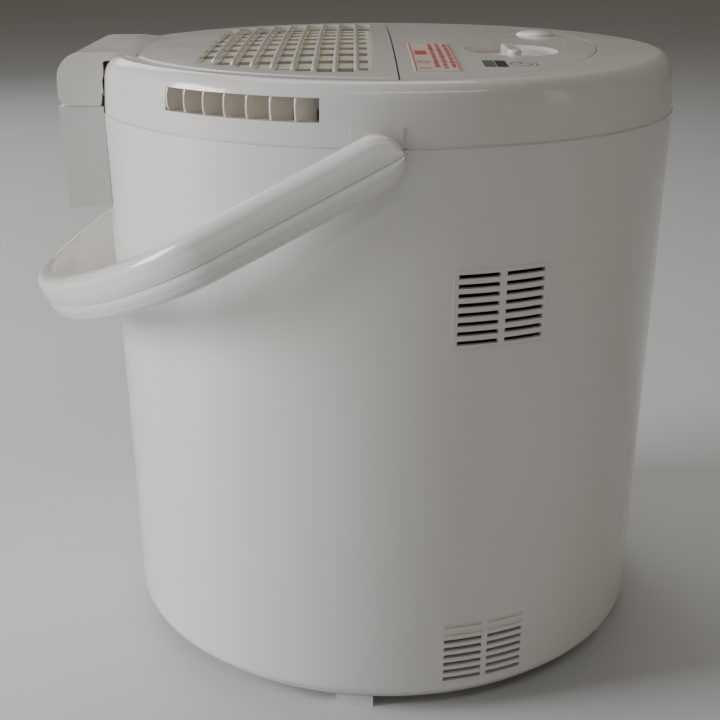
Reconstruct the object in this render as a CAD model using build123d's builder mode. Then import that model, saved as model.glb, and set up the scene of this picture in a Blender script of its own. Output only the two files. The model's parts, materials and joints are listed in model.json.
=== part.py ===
from build123d import *
import os
from math import asin, cos, degrees, radians, sin, sqrt

# Compact desiccant dehumidifier: a round tapered body with a bail handle and a hinged intake lid.
#
# The origin is on the body's axis at floor level. +X points to the front, where the controls are,
# -X to the lid's hinge, and +Z up. All lengths are in millimetres and all angles in degrees.

os.makedirs("parts", exist_ok=True)

# ---------------------------------------------------------------- driving dimensions
BODY_TOP_R = 160.0       # outer radius of the body shell at the seam
BODY_FOOT_R = 152.6      # outer radius at the foot of the taper
FOOT_Z = 8.0             # height where the taper starts
SEAM_Z = 308.6           # seam between the body shell and the top housing
SEAM_GAP = 0.8           # width of the groove along the seam
WALL = 2.6               # wall of the large mouldings
SHELL_Z0 = 9.6           # lowest edge of the body shell
LIP_R = 132.0            # the shell's lower lip reaches in to this radius
SCREW_R, SCREW_ANGLES = 138.0, (60.0, 140.0, 220.0, 300.0)   # screws that hold the base pan
PAN_TOP = SHELL_Z0 - 0.2

RIM_Z = 338.0            # top of the housing's rim
RIM_ROUND_Z, RIM_ROUND_R = 324.5, 150.4   # the rim's tall rounding starts and ends here
HOUSING_R = 159.6        # outer radius of the top housing above the seam
HOUSING_TOP_R = 158.8    # the same, where the rounding starts
SEAM_BEAD_R = 159.3      # floor of the groove along the seam
LID_OPENING_R = 149.9    # radius of the opening that the lid closes
CROWN_Z = 342.0          # highest point of the gently domed top
DOME_T = 2.4             # thickness of the domed covers
SPLIT_X = 2.5            # line where the lid meets the front deck
SPLIT_GAP = 0.8

PIVOT_X, PIVOT_Z = -8.0, 303.0   # axis of the bail handle, along Y
EAR_R = 12.0                     # half-width of the housing's ears round the handle pivots
HANDLE_SAG = 28.4                # how far the resting handle hangs below level
HANDLE_REACH = 218.5             # from the pivot axis to the outside of the crossbar
HANDLE_HALF_W = 170.6            # outside of the arms
HANDLE_IN = 161.6                # inside of the arms
HANDLE_H = 26.6                  # height of the strap
HANDLE_STRAIGHT = 90.0           # length of the straight arms

HINGE_X, HINGE_Z = -170.5, 317.5  # axis of the lid's hinge, along Y
HINGE_HALF_W = 50.0
HINGE_BACK_X = -176.0             # rear face of the hinge
HINGE_JOINT_Z = 312.0             # joint between the fixed box and the lid's arch

PANEL_A, PANEL_B = 116.0, 148.0   # semi-axes of the half-elliptic control panel
KNOB_X, KNOB_Y = 65.0, -46.0
DISH_R = 25.0
BUTTON_X, BUTTON_Y = 89.0, 40.0
BUTTON_R = 11.2

ROTOR_Z = 226.0          # height of the zeolite rotor's axis, which runs along X
ROTOR_X0, ROTOR_X1 = -3.0, 13.0
GEAR_MODULE = 2.0
RING_TEETH, PINION_TEETH = 76, 12
PINION_ANGLE = -50.0     # direction from the rotor's axis to the pinion, in the YZ plane
BULKHEAD_X0, BULKHEAD_X1 = 16.0, 19.0
BULKHEAD_Z0, BULKHEAD_Z1 = 12.4, 304.0

FAN_Y, FAN_Z = 10.0, 258.0
FAN_X0, FAN_X1 = 30.0, 78.0
SCROLL_R = 58.0
DUCT_END_Y, DUCT_H, DUCT_END_R = 155.0, 52.0, 154.0
IMPELLER_R = 45.0

TANK_R = 138.0           # the tank fills the rear half of the body
TANK_FRONT_X = -34.0
TANK_Z0, TANK_Z1 = 15.0, 140.0
TANK_WALL = 2.2

LEDGE_R, LEDGE_Z0, LEDGE_Z1 = 140.0, 331.4, 333.8   # ledge that the lid rests over
LID_R, LID_T = 149.2, 3.4
SKIRT_R, SKIRT_Z = 135.0, 322.0   # wall under the lid that holds the slats and the filter
ARCH_TOP_Z, ARCH_R, ARCH_WALL = 340.0, 14.0, 2.2
CHEEK_SWING_R = 17.75    # the cheeks' lower front corner keeps within this radius of the hinge
CHEEK_SKIN = 1.0         # what is left of a cheek over the end of the hinge pin
HINGE_PIN_R = 1.65
KNUCKLE_YS, KNUCKLE_W = (-30.0, 0.0, 30.0), 8.0
BUSH_R, PIVOT_PIN_R = 8.0, 5.0

BAR_T = 11.0             # thickness of the bail's crossbar
BOW_PULL = 0.40          # how square the bail's bow is: the reach of its Bezier handles
PARTING_H = -1.9         # parting line of the bail, across the strap
SLAT_CROWN, SLAT_T = 338.2, 2.4   # the slats follow the lid's dome, just under it
SLAT_PITCH, SLAT_W, SLAT_COUNT = 28.0, 17.0, 9
DISH_Z = 333.0           # floor of the knob's dish
PANEL_GAP = 0.8
LED_X, LED_Y = 99.0, -2.0
WINDOW_XY, WINDOW_T = ((47.9, -100.0), (53.9, -100.0)), 1.6
WINDOW_W, WINDOW_H = 5.4, 20.0
LABEL_X, LABEL_Y = 21.8, -75.5
LABEL_W, LABEL_H, LABEL_T = 22.5, 101.0, 0.3
CONTROL_BOARD_Z = 320.5
ELECTRONICS_Z = 95.0
CONDENSER_X, CONDENSER_Z0, CONDENSER_Z1 = -17.0, 152.0, 302.0
BLADES = 24
TANK_HANDLE_X, TANK_HANDLE_Z, TANK_LUG_Y = -70.0, 147.5, 62.0
FLOAT_X, FLOAT_Z = -60.0, 128.0
GLAND_ANGLE, GLAND_Z, GLAND_BORE_R, GLAND_NECK_BORE_R = 160.0, 34.0, 3.6, 4.4

FOOT_ANGLES = (-97.3, -25.0, 25.0, 97.3, 180.0)
VENT_ROWS, VENT_PITCH, VENT_WIDTH, VENT_HEIGHT = 8, 4.8, 21.2, 2.3
MID_VENT_ANGLES, MID_VENT_Z = (-74.74, -65.78), 229.9
LOW_VENT_ANGLES, LOW_VENT_Z, LOW_VENT_PITCH = (-75.1, -65.95), 36.8, 4.65
SIDE_SLOTS, SIDE_SLOT_STEP, SIDE_SLOT_MID = 7, 4.46, -118.0
SIDE_SLOT_Z0, SIDE_SLOT_Z1 = 319.5, 330.7
GRILLE_COLUMNS, GRILLE_PITCH, GRILLE_SLOT_W = 9, 10.2, 7.6
GRILLE_FIRST_X = -12.1
GRILLE_R = 132.0         # the grille's openings end on a circle of this radius


def body_radius(z):
    """Outer radius of the tapered body shell at height z."""
    return BODY_FOOT_R + (BODY_TOP_R - BODY_FOOT_R) * (z - FOOT_Z) / (SEAM_Z - FOOT_Z)


def dome_z(r, crown=CROWN_Z):
    """Height of the domed top at radius r: an arc from the crown down to the rim."""
    drop = CROWN_Z - RIM_Z
    dome_r = (LID_OPENING_R**2 + drop**2) / (2 * drop)
    return crown - dome_r + sqrt(dome_r**2 - r**2)


def column_half(x):
    """Half-length of the grille opening whose middle is at x; the ones by the split are shorter."""
    on_circle = sqrt(GRILLE_R**2 - (abs(x) + GRILLE_SLOT_W / 2) ** 2)
    return min(on_circle, 128.5 - 0.01 * max(0.0, 35 + x) ** 2)


def wall_plane(angle, z, radius):
    """Plane on an upright wall: X runs along the wall, Y up, and its normal points outwards."""
    c, s = cos(radians(angle)), sin(radians(angle))
    return Plane(origin=(radius * c, radius * s, z), x_dir=(-s, c, 0), z_dir=(c, s, 0))


def dome_section(radius, thickness, crown=CROWN_Z, undercut=0.0):
    """Half section of a domed cover, to be drawn in the XZ plane for a turn about Z."""
    low = crown - thickness
    with BuildSketch() as section:
        with BuildLine():
            ThreePointArc((0, crown), (radius / 2, dome_z(radius / 2, crown)),
                          (radius, dome_z(radius, crown)))
            Line((radius, dome_z(radius, crown)), (radius - undercut, dome_z(radius - undercut, low)))
            ThreePointArc((radius - undercut, dome_z(radius - undercut, low)),
                          (radius / 2, dome_z(radius / 2, low)), (0, low))
            Line((0, low), (0, crown))
        make_face()
    return section.sketch


def polar_xy(radius, angle):
    return (radius * cos(radians(angle)), radius * sin(radians(angle)))


def gear_sketch(teeth, pitch_r, first_angle):
    """Gear with straight-sided teeth and some play, the first tooth at first_angle."""
    root_r, tip_r = pitch_r - 2.2, pitch_r + 1.7
    points = []
    for i in range(teeth):
        middle = first_angle + 360 * i / teeth
        for r, half in ((root_r, -1.7), (tip_r, -0.7), (tip_r, 0.7), (root_r, 1.7)):
            points.append(polar_xy(r, middle + degrees(asin(half / r))))
    with BuildSketch() as gear:
        with BuildLine():
            Polyline(*points, close=True)
        make_face()
    return gear.sketch


# ================================================================ casing
with BuildPart() as body_shell:
    with BuildSketch(Plane.XZ):
        with BuildLine():
            Polyline((LIP_R, SHELL_Z0), (body_radius(SHELL_Z0), SHELL_Z0),
                     (BODY_TOP_R, SEAM_Z - SEAM_GAP / 2), (BODY_TOP_R - WALL, SEAM_Z - SEAM_GAP / 2),
                     (body_radius(SHELL_Z0 + WALL) - WALL, SHELL_Z0 + WALL),
                     (LIP_R, SHELL_Z0 + WALL), close=True)
        make_face()
        corners = vertices().filter_by(lambda v: 145 < v.X < 155 and v.Y < 20).sort_by(Axis.Y)
        fillet(corners[0], 7.5)
        fillet(vertices().filter_by(lambda v: 145 < v.X < 151 and 12 < v.Y < 13).sort_by(Axis.X)[-1], 5.0)
    revolve(axis=Axis.Z)
    open_low_z = LOW_VENT_Z - LOW_VENT_PITCH
    for angles, z, pitch, rows in ((MID_VENT_ANGLES, MID_VENT_Z, VENT_PITCH, VENT_ROWS),
                                   (LOW_VENT_ANGLES, open_low_z, LOW_VENT_PITCH, VENT_ROWS - 2)):
        for angle in angles:
            with BuildSketch(wall_plane(angle, z, body_radius(z))):
                with GridLocations(1, pitch, 1, rows):
                    Rectangle(VENT_WIDTH, VENT_HEIGHT)
            extrude(amount=5, both=True, mode=Mode.SUBTRACT)
    # the two highest rows of the low vent are only blind grooves
    for angle in LOW_VENT_ANGLES:
        z = LOW_VENT_Z + 3 * LOW_VENT_PITCH
        with BuildSketch(wall_plane(angle, z, body_radius(z) - 0.9)):
            with GridLocations(1, LOW_VENT_PITCH, 1, 2):
                Rectangle(VENT_WIDTH, VENT_HEIGHT)
        extrude(amount=4, mode=Mode.SUBTRACT)
    # notches for the housing's ears
    with BuildSketch(Plane.XZ):
        with Locations((PIVOT_X, PIVOT_Z)):
            Circle(EAR_R + 0.3)
        with Locations((PIVOT_X, PIVOT_Z + 10)):
            Rectangle(2 * EAR_R + 0.6, 20)
    extrude(amount=BODY_TOP_R + 5, both=True, mode=Mode.SUBTRACT)
    # holes for the hinge screws and for the cord inlet
    with BuildSketch(Plane.YZ.offset(-BODY_TOP_R - 5)):
        with Locations((0, 285)):
            with GridLocations(70, 26, 2, 2):
                Circle(2.1)
    extrude(amount=25, mode=Mode.SUBTRACT)
    with BuildSketch(wall_plane(GLAND_ANGLE, GLAND_Z, 120)):
        Circle(7.0)
    extrude(amount=45, mode=Mode.SUBTRACT)
    with BuildSketch(Plane.XY):
        with Locations(*[polar_xy(SCREW_R, a) for a in SCREW_ANGLES]):
            Circle(1.95)
    extrude(amount=30, mode=Mode.SUBTRACT)
body_shell.part.label = "body_shell"
export_step(body_shell.part, "parts/body_shell.step")

with BuildPart() as base_pan:
    with BuildSketch(Plane.XY.offset(6.4)):
        Circle(144.6)
    extrude(amount=PAN_TOP - 6.4)
    with BuildSketch(Plane.XY):
        Circle(124)
        Circle(118, mode=Mode.SUBTRACT)
        for angle in FOOT_ANGLES:
            with Locations(Location((*polar_xy(131.5, angle), 0), (0, 0, angle))):
                Rectangle(27, 20)
    extrude(amount=6.4)
    with BuildSketch(Plane.XY):
        with Locations(*[polar_xy(132, a) for a in FOOT_ANGLES]):
            Circle(6.05)
    extrude(amount=2.6, mode=Mode.SUBTRACT)
    with BuildSketch(Plane.XY):
        with Locations(*[polar_xy(SCREW_R, a) for a in SCREW_ANGLES]):
            Circle(2.1)
    extrude(amount=20, mode=Mode.SUBTRACT)
base_pan.part.label = "base_pan"
export_step(base_pan.part, "parts/base_pan.step")

with BuildPart() as rubber_feet:
    with BuildSketch(Plane.XY):
        with Locations(*[polar_xy(132, a) for a in FOOT_ANGLES]):
            Circle(6.0)
    extrude(amount=2.5)
rubber_feet.part.label = "rubber_feet"
export_step(rubber_feet.part, "parts/rubber_feet.step")

# wall of the body's outer shape with nothing cut out, from which the ears are taken
with BuildPart() as ear_blanks:
    with BuildSketch(Plane.XZ):
        with Locations((PIVOT_X, PIVOT_Z)):
            Circle(EAR_R)
        with Locations((PIVOT_X, PIVOT_Z + 7.5)):
            Rectangle(2 * EAR_R, 15)
    extrude(amount=BODY_TOP_R + 5, both=True)
    with BuildSketch(Plane.XZ):
        with BuildLine():
            Polyline((150.2, 290), (body_radius(290), 290), (BODY_TOP_R - 0.2, SEAM_Z),
                     (HOUSING_R, SEAM_Z + 1), (HOUSING_R, 330), (150.2, 330), close=True)
        make_face()
    revolve(axis=Axis.Z, mode=Mode.INTERSECT)

# front deck: domed, open where the control panel lies, with a shelf under the panel's edge
with BuildPart() as deck_blank:
    with BuildSketch(Plane.XZ):
        add(dome_section(LID_OPENING_R + 0.5, DOME_T))
    revolve(axis=Axis.Z)
    split(bisect_by=Plane.YZ.offset(SPLIT_X + SPLIT_GAP / 2), keep=Keep.TOP)
    with BuildSketch(Plane.XY.offset(320)):
        Ellipse(PANEL_A, PANEL_B)
    extrude(amount=40, mode=Mode.SUBTRACT)

with BuildPart() as shelf_blank:
    with BuildSketch(Plane.XZ):
        add(dome_section(LID_OPENING_R + 0.5, 2.0, CROWN_Z - DOME_T))
    revolve(axis=Axis.Z)
    split(bisect_by=Plane.YZ.offset(SPLIT_X + SPLIT_GAP / 2), keep=Keep.TOP)
    with BuildSketch(Plane.XY.offset(320)):
        Ellipse(PANEL_A - 5, PANEL_B - 5)
        with Locations((-SPLIT_X, 0)):
            Rectangle(24, 2 * PANEL_B - 10)
    extrude(amount=40, mode=Mode.SUBTRACT)

with BuildPart() as top_housing:
    with BuildSketch(Plane.XZ):
        with BuildLine():
            above_seam, below_seam = SEAM_Z + SEAM_GAP / 2, SEAM_Z - SEAM_GAP / 2 + 0.15
            Polyline((HOUSING_TOP_R, RIM_ROUND_Z), (HOUSING_R, above_seam), (SEAM_BEAD_R, above_seam),
                     (SEAM_BEAD_R, below_seam), (157.0, below_seam), (156.9, 302.4), (154.8, 302.4),
                     (155.2, 328), (153.4, LEDGE_Z0), (LEDGE_R, LEDGE_Z0), (LEDGE_R, LEDGE_Z1),
                     (LID_OPENING_R, LEDGE_Z1), (LID_OPENING_R, RIM_Z), (RIM_ROUND_R, RIM_Z))
            Bezier((RIM_ROUND_R, RIM_Z), (RIM_ROUND_R + 4.8, RIM_Z),
                   (HOUSING_TOP_R, RIM_ROUND_Z + 7.5), (HOUSING_TOP_R, RIM_ROUND_Z))
        make_face()
    revolve(axis=Axis.Z)
    add(ear_blanks.part)
    add(deck_blank.part)
    add(shelf_blank.part)
    # bores for the handle's bushes
    with BuildSketch(Plane.XZ):
        with Locations((PIVOT_X, PIVOT_Z)):
            Circle(BUSH_R + 0.02)
    extrude(amount=BODY_TOP_R + 5, both=True, mode=Mode.SUBTRACT)
    # the row of intake slots on each side
    for side in (1, -1):
        with BuildSketch(Plane.XY.offset(SIDE_SLOT_Z0)):
            with BuildLine():
                Polyline((0, 0), *[polar_xy(190, side * (SIDE_SLOT_MID + SIDE_SLOTS * SIDE_SLOT_STEP * t))
                                   for t in (-0.5, 0, 0.5)], close=True)
            make_face()
            Circle(150, mode=Mode.SUBTRACT)
        extrude(amount=SIDE_SLOT_Z1 - SIDE_SLOT_Z0, mode=Mode.SUBTRACT)
    # the rim is lowered where the lid's arch crosses it
    with BuildSketch(Plane.XY.offset(LEDGE_Z1 + 0.4)):
        with Locations((-155, 0)):
            Rectangle(30, 2 * HINGE_HALF_W + 1.2)
    extrude(amount=20, mode=Mode.SUBTRACT)
top_housing.part.label = "top_housing"
export_step(top_housing.part, "parts/top_housing.step")

with BuildPart() as intake_vanes:
    for side in (1, -1):
        first = SIDE_SLOT_MID - SIDE_SLOTS * SIDE_SLOT_STEP / 2
        spread = SIDE_SLOTS * SIDE_SLOT_STEP + 2
        with BuildSketch(Plane.XY.offset(SIDE_SLOT_Z0 - 2.0)):
            Circle(154.8)
            Circle(149, mode=Mode.SUBTRACT)
            with BuildLine():
                Polyline((0, 0), *[polar_xy(190, side * (SIDE_SLOT_MID + spread * t))
                                   for t in (-0.5, 0, 0.5)], close=True)
            make_face(mode=Mode.INTERSECT)
        extrude(amount=1.6)
        with BuildSketch(Plane.XY.offset(SIDE_SLOT_Z0 - 0.6)):
            for i in range(SIDE_SLOTS):
                lean = first + 0.15 + i * SIDE_SLOT_STEP
                with BuildLine():
                    outer = [polar_xy(157.9, side * lean), polar_xy(154, side * (lean + 0.9)),
                             polar_xy(149.2, side * (lean + 2.6))]
                    inner = [polar_xy(157.9, side * (lean + 0.4)), polar_xy(154, side * (lean + 1.3)),
                             polar_xy(149.2, side * (lean + 3.0))]
                    ThreePointArc(*outer)
                    Line(outer[-1], inner[-1])
                    ThreePointArc(*reversed(inner))
                    Line(inner[0], outer[0])
                make_face()
        extrude(amount=SIDE_SLOT_Z1 - SIDE_SLOT_Z0 + 0.4)
    # the vanes pass through the slots and keep clear of the wall above and below them
    with BuildSketch(Plane.XZ):
        with BuildLine():
            Polyline((154.9, 300), (154.9, SIDE_SLOT_Z0 + 0.2),
                     (170, SIDE_SLOT_Z0 + 0.2), (170, 300), close=True)
        make_face()
    revolve(axis=Axis.Z, mode=Mode.SUBTRACT)
    with BuildSketch(Plane.XZ):
        with BuildLine():
            Polyline((153.0, 340), (153.0, SIDE_SLOT_Z1 - 0.3),
                     (170, SIDE_SLOT_Z1 - 0.3), (170, 340), close=True)
        make_face()
    revolve(axis=Axis.Z, mode=Mode.SUBTRACT)
intake_vanes.part.label = "intake_vanes"
export_step(intake_vanes.part, "parts/intake_vanes.step")

# ================================================================ lid and its hinge
with BuildSketch(Plane.XZ) as arch_outline:
    with BuildLine():
        RadiusArc((HINGE_X, HINGE_JOINT_Z), (HINGE_BACK_X, HINGE_Z), HINGE_Z - HINGE_JOINT_Z)
        Line((HINGE_BACK_X, HINGE_Z), (HINGE_BACK_X, ARCH_TOP_Z - ARCH_R))
        RadiusArc((HINGE_BACK_X, ARCH_TOP_Z - ARCH_R), (HINGE_BACK_X + ARCH_R, ARCH_TOP_Z), ARCH_R)
        Polyline((HINGE_BACK_X + ARCH_R, ARCH_TOP_Z), (-144, ARCH_TOP_Z), (-133, dome_z(133) - 0.1),
                 (-133, dome_z(133) - 2.5), (-150, LEDGE_Z1 + 1.6), (-151.2, LEDGE_Z1 + 1.0),
                 (-151.2, HINGE_Z + 4), (HINGE_X + CHEEK_SWING_R, HINGE_Z))
        low_corner = (HINGE_X + sqrt(CHEEK_SWING_R**2 - (HINGE_Z - HINGE_JOINT_Z) ** 2), HINGE_JOINT_Z)
        mid_x, mid_z = polar_xy(CHEEK_SWING_R, -9)
        ThreePointArc((HINGE_X + CHEEK_SWING_R, HINGE_Z), (HINGE_X + mid_x, HINGE_Z + mid_z), low_corner)
        Line(low_corner, (HINGE_X, HINGE_JOINT_Z))
    make_face()

with BuildPart() as arch_blank:
    extrude(arch_outline.sketch, amount=HINGE_HALF_W, both=True)
    with BuildSketch(Plane.XZ):
        with BuildLine():
            back = HINGE_BACK_X + ARCH_WALL
            ceiling = ARCH_TOP_Z - ARCH_WALL
            RadiusArc((HINGE_X, HINGE_JOINT_Z + ARCH_WALL), (back, HINGE_Z),
                      HINGE_Z - HINGE_JOINT_Z - ARCH_WALL)
            Line((back, HINGE_Z), (back, ARCH_TOP_Z - ARCH_R))
            RadiusArc((back, ARCH_TOP_Z - ARCH_R), (HINGE_BACK_X + ARCH_R, ceiling), ARCH_R - ARCH_WALL)
            Polyline((HINGE_BACK_X + ARCH_R, ceiling), (-155, ceiling),
                     (-152, LEDGE_Z1 + 1.2), (-152, HINGE_JOINT_Z - 2), (HINGE_X, HINGE_JOINT_Z - 2),
                     (HINGE_X, HINGE_JOINT_Z + ARCH_WALL))
        make_face()
    extrude(amount=HINGE_HALF_W - 2.5, both=True, mode=Mode.SUBTRACT)
    # blind bores in the cheeks, and notches round the fixed knuckles
    with BuildSketch(Plane.XZ):
        with Locations((HINGE_X, HINGE_Z)):
            Circle(HINGE_PIN_R + 0.05)
    extrude(amount=HINGE_HALF_W - CHEEK_SKIN, both=True, mode=Mode.SUBTRACT)
    for y in KNUCKLE_YS:
        with BuildSketch(Plane.XZ.offset(-y)):
            with Locations((HINGE_X - 3.5, HINGE_JOINT_Z + 2.7)):
                Rectangle(7, 7.4)
        extrude(amount=KNUCKLE_W / 2 + 0.6, both=True, mode=Mode.SUBTRACT)
    # the cheeks end just short of the housing's wall and rounding
    with BuildSketch(Plane.XZ):
        with BuildLine():
            Polyline((140, 300), (HOUSING_R + 0.35, 300), (HOUSING_R + 0.35, RIM_ROUND_Z + 1),
                     (HOUSING_TOP_R - 0.2, 330), (157.0, 333.2), (156.2, LEDGE_Z1 + 0.8),
                     (140, LEDGE_Z1 + 0.8), close=True)
        make_face()
    revolve(axis=Axis.Z, mode=Mode.SUBTRACT)

with BuildPart() as lid:
    with BuildSketch(Plane.XZ):
        add(dome_section(LID_R, LID_T, undercut=3.0))
    revolve(axis=Axis.Z)
    # skirt that holds the slats and the filter
    with BuildSketch(Plane.XY.offset(SKIRT_Z)):
        Circle(SKIRT_R)
        Circle(SKIRT_R - 2, mode=Mode.SUBTRACT)
        with Locations((SPLIT_X - 2.5, 0)):
            Rectangle(2, 2 * SKIRT_R - 1)
    extrude(amount=14.5)
    split(bisect_by=Plane.YZ.offset(SPLIT_X - SPLIT_GAP / 2), keep=Keep.BOTTOM)
    # border step between the lid's dome and its rim
    with BuildSketch(Plane.XZ):
        with BuildLine():
            Polyline((141, CROWN_Z), (141, dome_z(141) - 0.7),
                     (145, dome_z(145) - 0.7), (145, CROWN_Z), close=True)
        make_face()
    revolve(axis=Axis.Z, mode=Mode.SUBTRACT)
    add(arch_blank.part)
    # intake openings, one long opening per column
    for i in range(GRILLE_COLUMNS):
        x = GRILLE_FIRST_X - i * GRILLE_PITCH
        with BuildSketch(Plane.XY.offset(SKIRT_Z + 6)):
            with Locations((x, 0)):
                Rectangle(GRILLE_SLOT_W, 2 * column_half(x))
        extrude(amount=30, mode=Mode.SUBTRACT)
lid.part.label = "lid"
export_step(lid.part, "parts/lid.step")

with BuildPart() as lid_slats:
    with BuildSketch(Plane.XZ):
        add(dome_section(SKIRT_R - 2.3, SLAT_T, SLAT_CROWN))
    revolve(axis=Axis.Z)
    split(bisect_by=Plane.YZ.offset(SPLIT_X - 4), keep=Keep.BOTTOM)
    # gaps between the slats, inside a half-round rim, with three bars left under the lid's ribs
    with BuildSketch(Plane.XY.offset(SKIRT_Z)):
        with GridLocations(1, SLAT_PITCH, 1, SLAT_COUNT + 1):
            Rectangle(2 * SKIRT_R, SLAT_PITCH - SLAT_W)
        with BuildLine():
            slat_r = SKIRT_R - 7
            CenterArc((0, 0), slat_r, 95, 170)
            Line(polar_xy(slat_r, 265), polar_xy(slat_r, 95))
        make_face(mode=Mode.INTERSECT)
        for column in (2, 5, 7):
            with Locations((GRILLE_FIRST_X - (column + 0.5) * GRILLE_PITCH, 0)):
                Rectangle(2, 2 * SKIRT_R, mode=Mode.SUBTRACT)
    extrude(amount=30, mode=Mode.SUBTRACT)
lid_slats.part.label = "lid_slats"
export_step(lid_slats.part, "parts/lid_slats.step")

with BuildPart() as filter_frame:
    with BuildSketch(Plane.XY.offset(SKIRT_Z + 0.4)):
        Circle(SKIRT_R - 2.4)
        with Locations((SPLIT_X + 100 - 4.4, 0)):
            Rectangle(200, 300, mode=Mode.SUBTRACT)
        offset(amount=-5, mode=Mode.SUBTRACT)
        with Locations((-64, 0)):
            Rectangle(124, 3)
        with Locations((-64, 0)):
            Rectangle(3, 228)
    extrude(amount=3.4)
filter_frame.part.label = "filter_frame"
export_step(filter_frame.part, "parts/filter_frame.step")

with BuildPart() as filter_mesh:
    with BuildSketch(Plane.XY.offset(SKIRT_Z + 3.9)):
        Circle(SKIRT_R - 3)
        with Locations((SPLIT_X + 100 - 5.2, 0)):
            Rectangle(200, 300, mode=Mode.SUBTRACT)
    extrude(amount=1.0)
filter_mesh.part.label = "filter_mesh"
export_step(filter_mesh.part, "parts/filter_mesh.step")

with BuildPart() as hinge_housing:
    with BuildSketch(Plane.XZ):
        with BuildLine():
            Polyline((HINGE_BACK_X + 1.4, 256.5), (HINGE_BACK_X, HINGE_JOINT_Z - 0.3),
                     (-148, HINGE_JOINT_Z - 0.3), (-148, 258), close=True)
        make_face()
    extrude(amount=HINGE_HALF_W, both=True)
    with BuildSketch(Plane.XZ):
        with BuildLine():
            Polyline((HINGE_BACK_X + 3.8, 259), (HINGE_BACK_X + 2.5, HINGE_JOINT_Z - 2.8),
                     (-145, HINGE_JOINT_Z - 2.8), (-145, 260.5), close=True)
        make_face()
    extrude(amount=HINGE_HALF_W - 2.5, both=True, mode=Mode.SUBTRACT)
    # screw bosses
    with BuildSketch(Plane.YZ.offset(HINGE_BACK_X + 2)):
        with Locations((0, 285)):
            with GridLocations(70, 26, 2, 2):
                Circle(4)
    extrude(amount=25)
    # knuckles that carry the hinge pin
    for y in KNUCKLE_YS:
        with BuildSketch(Plane.XZ.offset(-y)):
            with Locations((HINGE_X, HINGE_Z)):
                Circle(3.0)
            with BuildLine():
                Polyline((HINGE_X + 0.5, HINGE_Z - 2.5), (HINGE_X + 2.8, HINGE_JOINT_Z - 0.6),
                         (HINGE_X + 10, HINGE_JOINT_Z - 0.6), (HINGE_X + 2.4, HINGE_Z + 1.6), close=True)
            make_face()
            with Locations((HINGE_X, HINGE_Z)):
                Circle(HINGE_PIN_R + 0.02, mode=Mode.SUBTRACT)
        extrude(amount=KNUCKLE_W / 2, both=True)
    with BuildSketch(Plane.YZ.offset(HINGE_BACK_X + 4)):
        with Locations((0, 285)):
            with GridLocations(70, 26, 2, 2):
                Circle(1.95)
    extrude(amount=30, mode=Mode.SUBTRACT)
    # the box follows the body's surface
    with BuildSketch(Plane.XZ):
        with BuildLine():
            Polyline((0, 250), (body_radius(250) + 0.1, 250), (BODY_TOP_R + 0.1, SEAM_Z - SEAM_GAP / 2),
                     (BODY_TOP_R + 0.1, 350), (0, 350), close=True)
        make_face()
    revolve(axis=Axis.Z, mode=Mode.SUBTRACT)
hinge_housing.part.label = "hinge_housing"
export_step(hinge_housing.part, "parts/hinge_housing.step")

with BuildPart() as hinge_pin:
    with BuildSketch(Plane.XZ):
        with Locations((HINGE_X, HINGE_Z)):
            Circle(HINGE_PIN_R)
    extrude(amount=HINGE_HALF_W - CHEEK_SKIN - 0.2, both=True)
hinge_pin.part.label = "hinge_pin"
export_step(hinge_pin.part, "parts/hinge_pin.step")

with BuildPart() as hinge_screws:
    for radius, x0, x1 in ((1.9, -166, -151.3), (3.5, -151.3, -149.2)):
        with BuildSketch(Plane.YZ.offset(x0)):
            with Locations((0, 285)):
                with GridLocations(70, 26, 2, 2):
                    Circle(radius)
        extrude(amount=x1 - x0)
hinge_screws.part.label = "hinge_screws"
export_step(hinge_screws.part, "parts/hinge_screws.step")

# ================================================================ bail handle
def bail_plane(height):
    """Plane of the resting bail at a height across the strap; X points from the pivots to the crossbar."""
    s, c = sin(radians(HANDLE_SAG)), cos(radians(HANDLE_SAG))
    return Plane(origin=(PIVOT_X - height * s, 0, PIVOT_Z + height * c), x_dir=(-c, 0, -s), z_dir=(-s, 0, c))


def bail_outline(half_w_out, half_w_in, reach_out, reach_in):
    """Plan of the bail between its outside and its inside: straight arms that run into one bow."""
    with BuildSketch() as outline:
        with BuildLine():
            for half_w, reach in ((half_w_out, reach_out), (half_w_in, reach_in)):
                bow = reach - HANDLE_STRAIGHT
                for side in (1, -1):
                    Line((0, side * half_w), (HANDLE_STRAIGHT, side * half_w))
                    Bezier((HANDLE_STRAIGHT, side * half_w),
                           (HANDLE_STRAIGHT + BOW_PULL * bow, side * half_w),
                           (reach, side * BOW_PULL * half_w), (reach, 0))
            for side in (1, -1):
                Line((0, side * half_w_out), (0, side * half_w_in))
        make_face()
    return outline.sketch


def bail_ends(radius, y_out):
    """Round ends of the arms, about the pivot axis."""
    with BuildPart() as ends:
        with BuildSketch(Plane.XZ):
            with Locations((PIVOT_X, PIVOT_Z)):
                Circle(radius)
        extrude(amount=y_out, both=True)
        with BuildSketch(Plane.XZ):
            with Locations((PIVOT_X, PIVOT_Z)):
                Circle(radius + 1)
        extrude(amount=HANDLE_IN, both=True, mode=Mode.SUBTRACT)
    return ends.part


HALF_H = HANDLE_H / 2
with BuildPart() as bail_blank:
    with BuildSketch(bail_plane(-HALF_H)):
        add(bail_outline(HANDLE_HALF_W, HANDLE_IN, HANDLE_REACH, HANDLE_REACH - BAR_T))
    extrude(amount=HANDLE_H)
    add(bail_ends(HALF_H, HANDLE_HALF_W))

with BuildPart() as handle_upper:
    add(bail_blank.part)
    split(bisect_by=bail_plane(PARTING_H), keep=Keep.TOP)
handle_upper.part.label = "handle_upper"
export_step(handle_upper.part, "parts/handle_upper.step")

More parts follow.
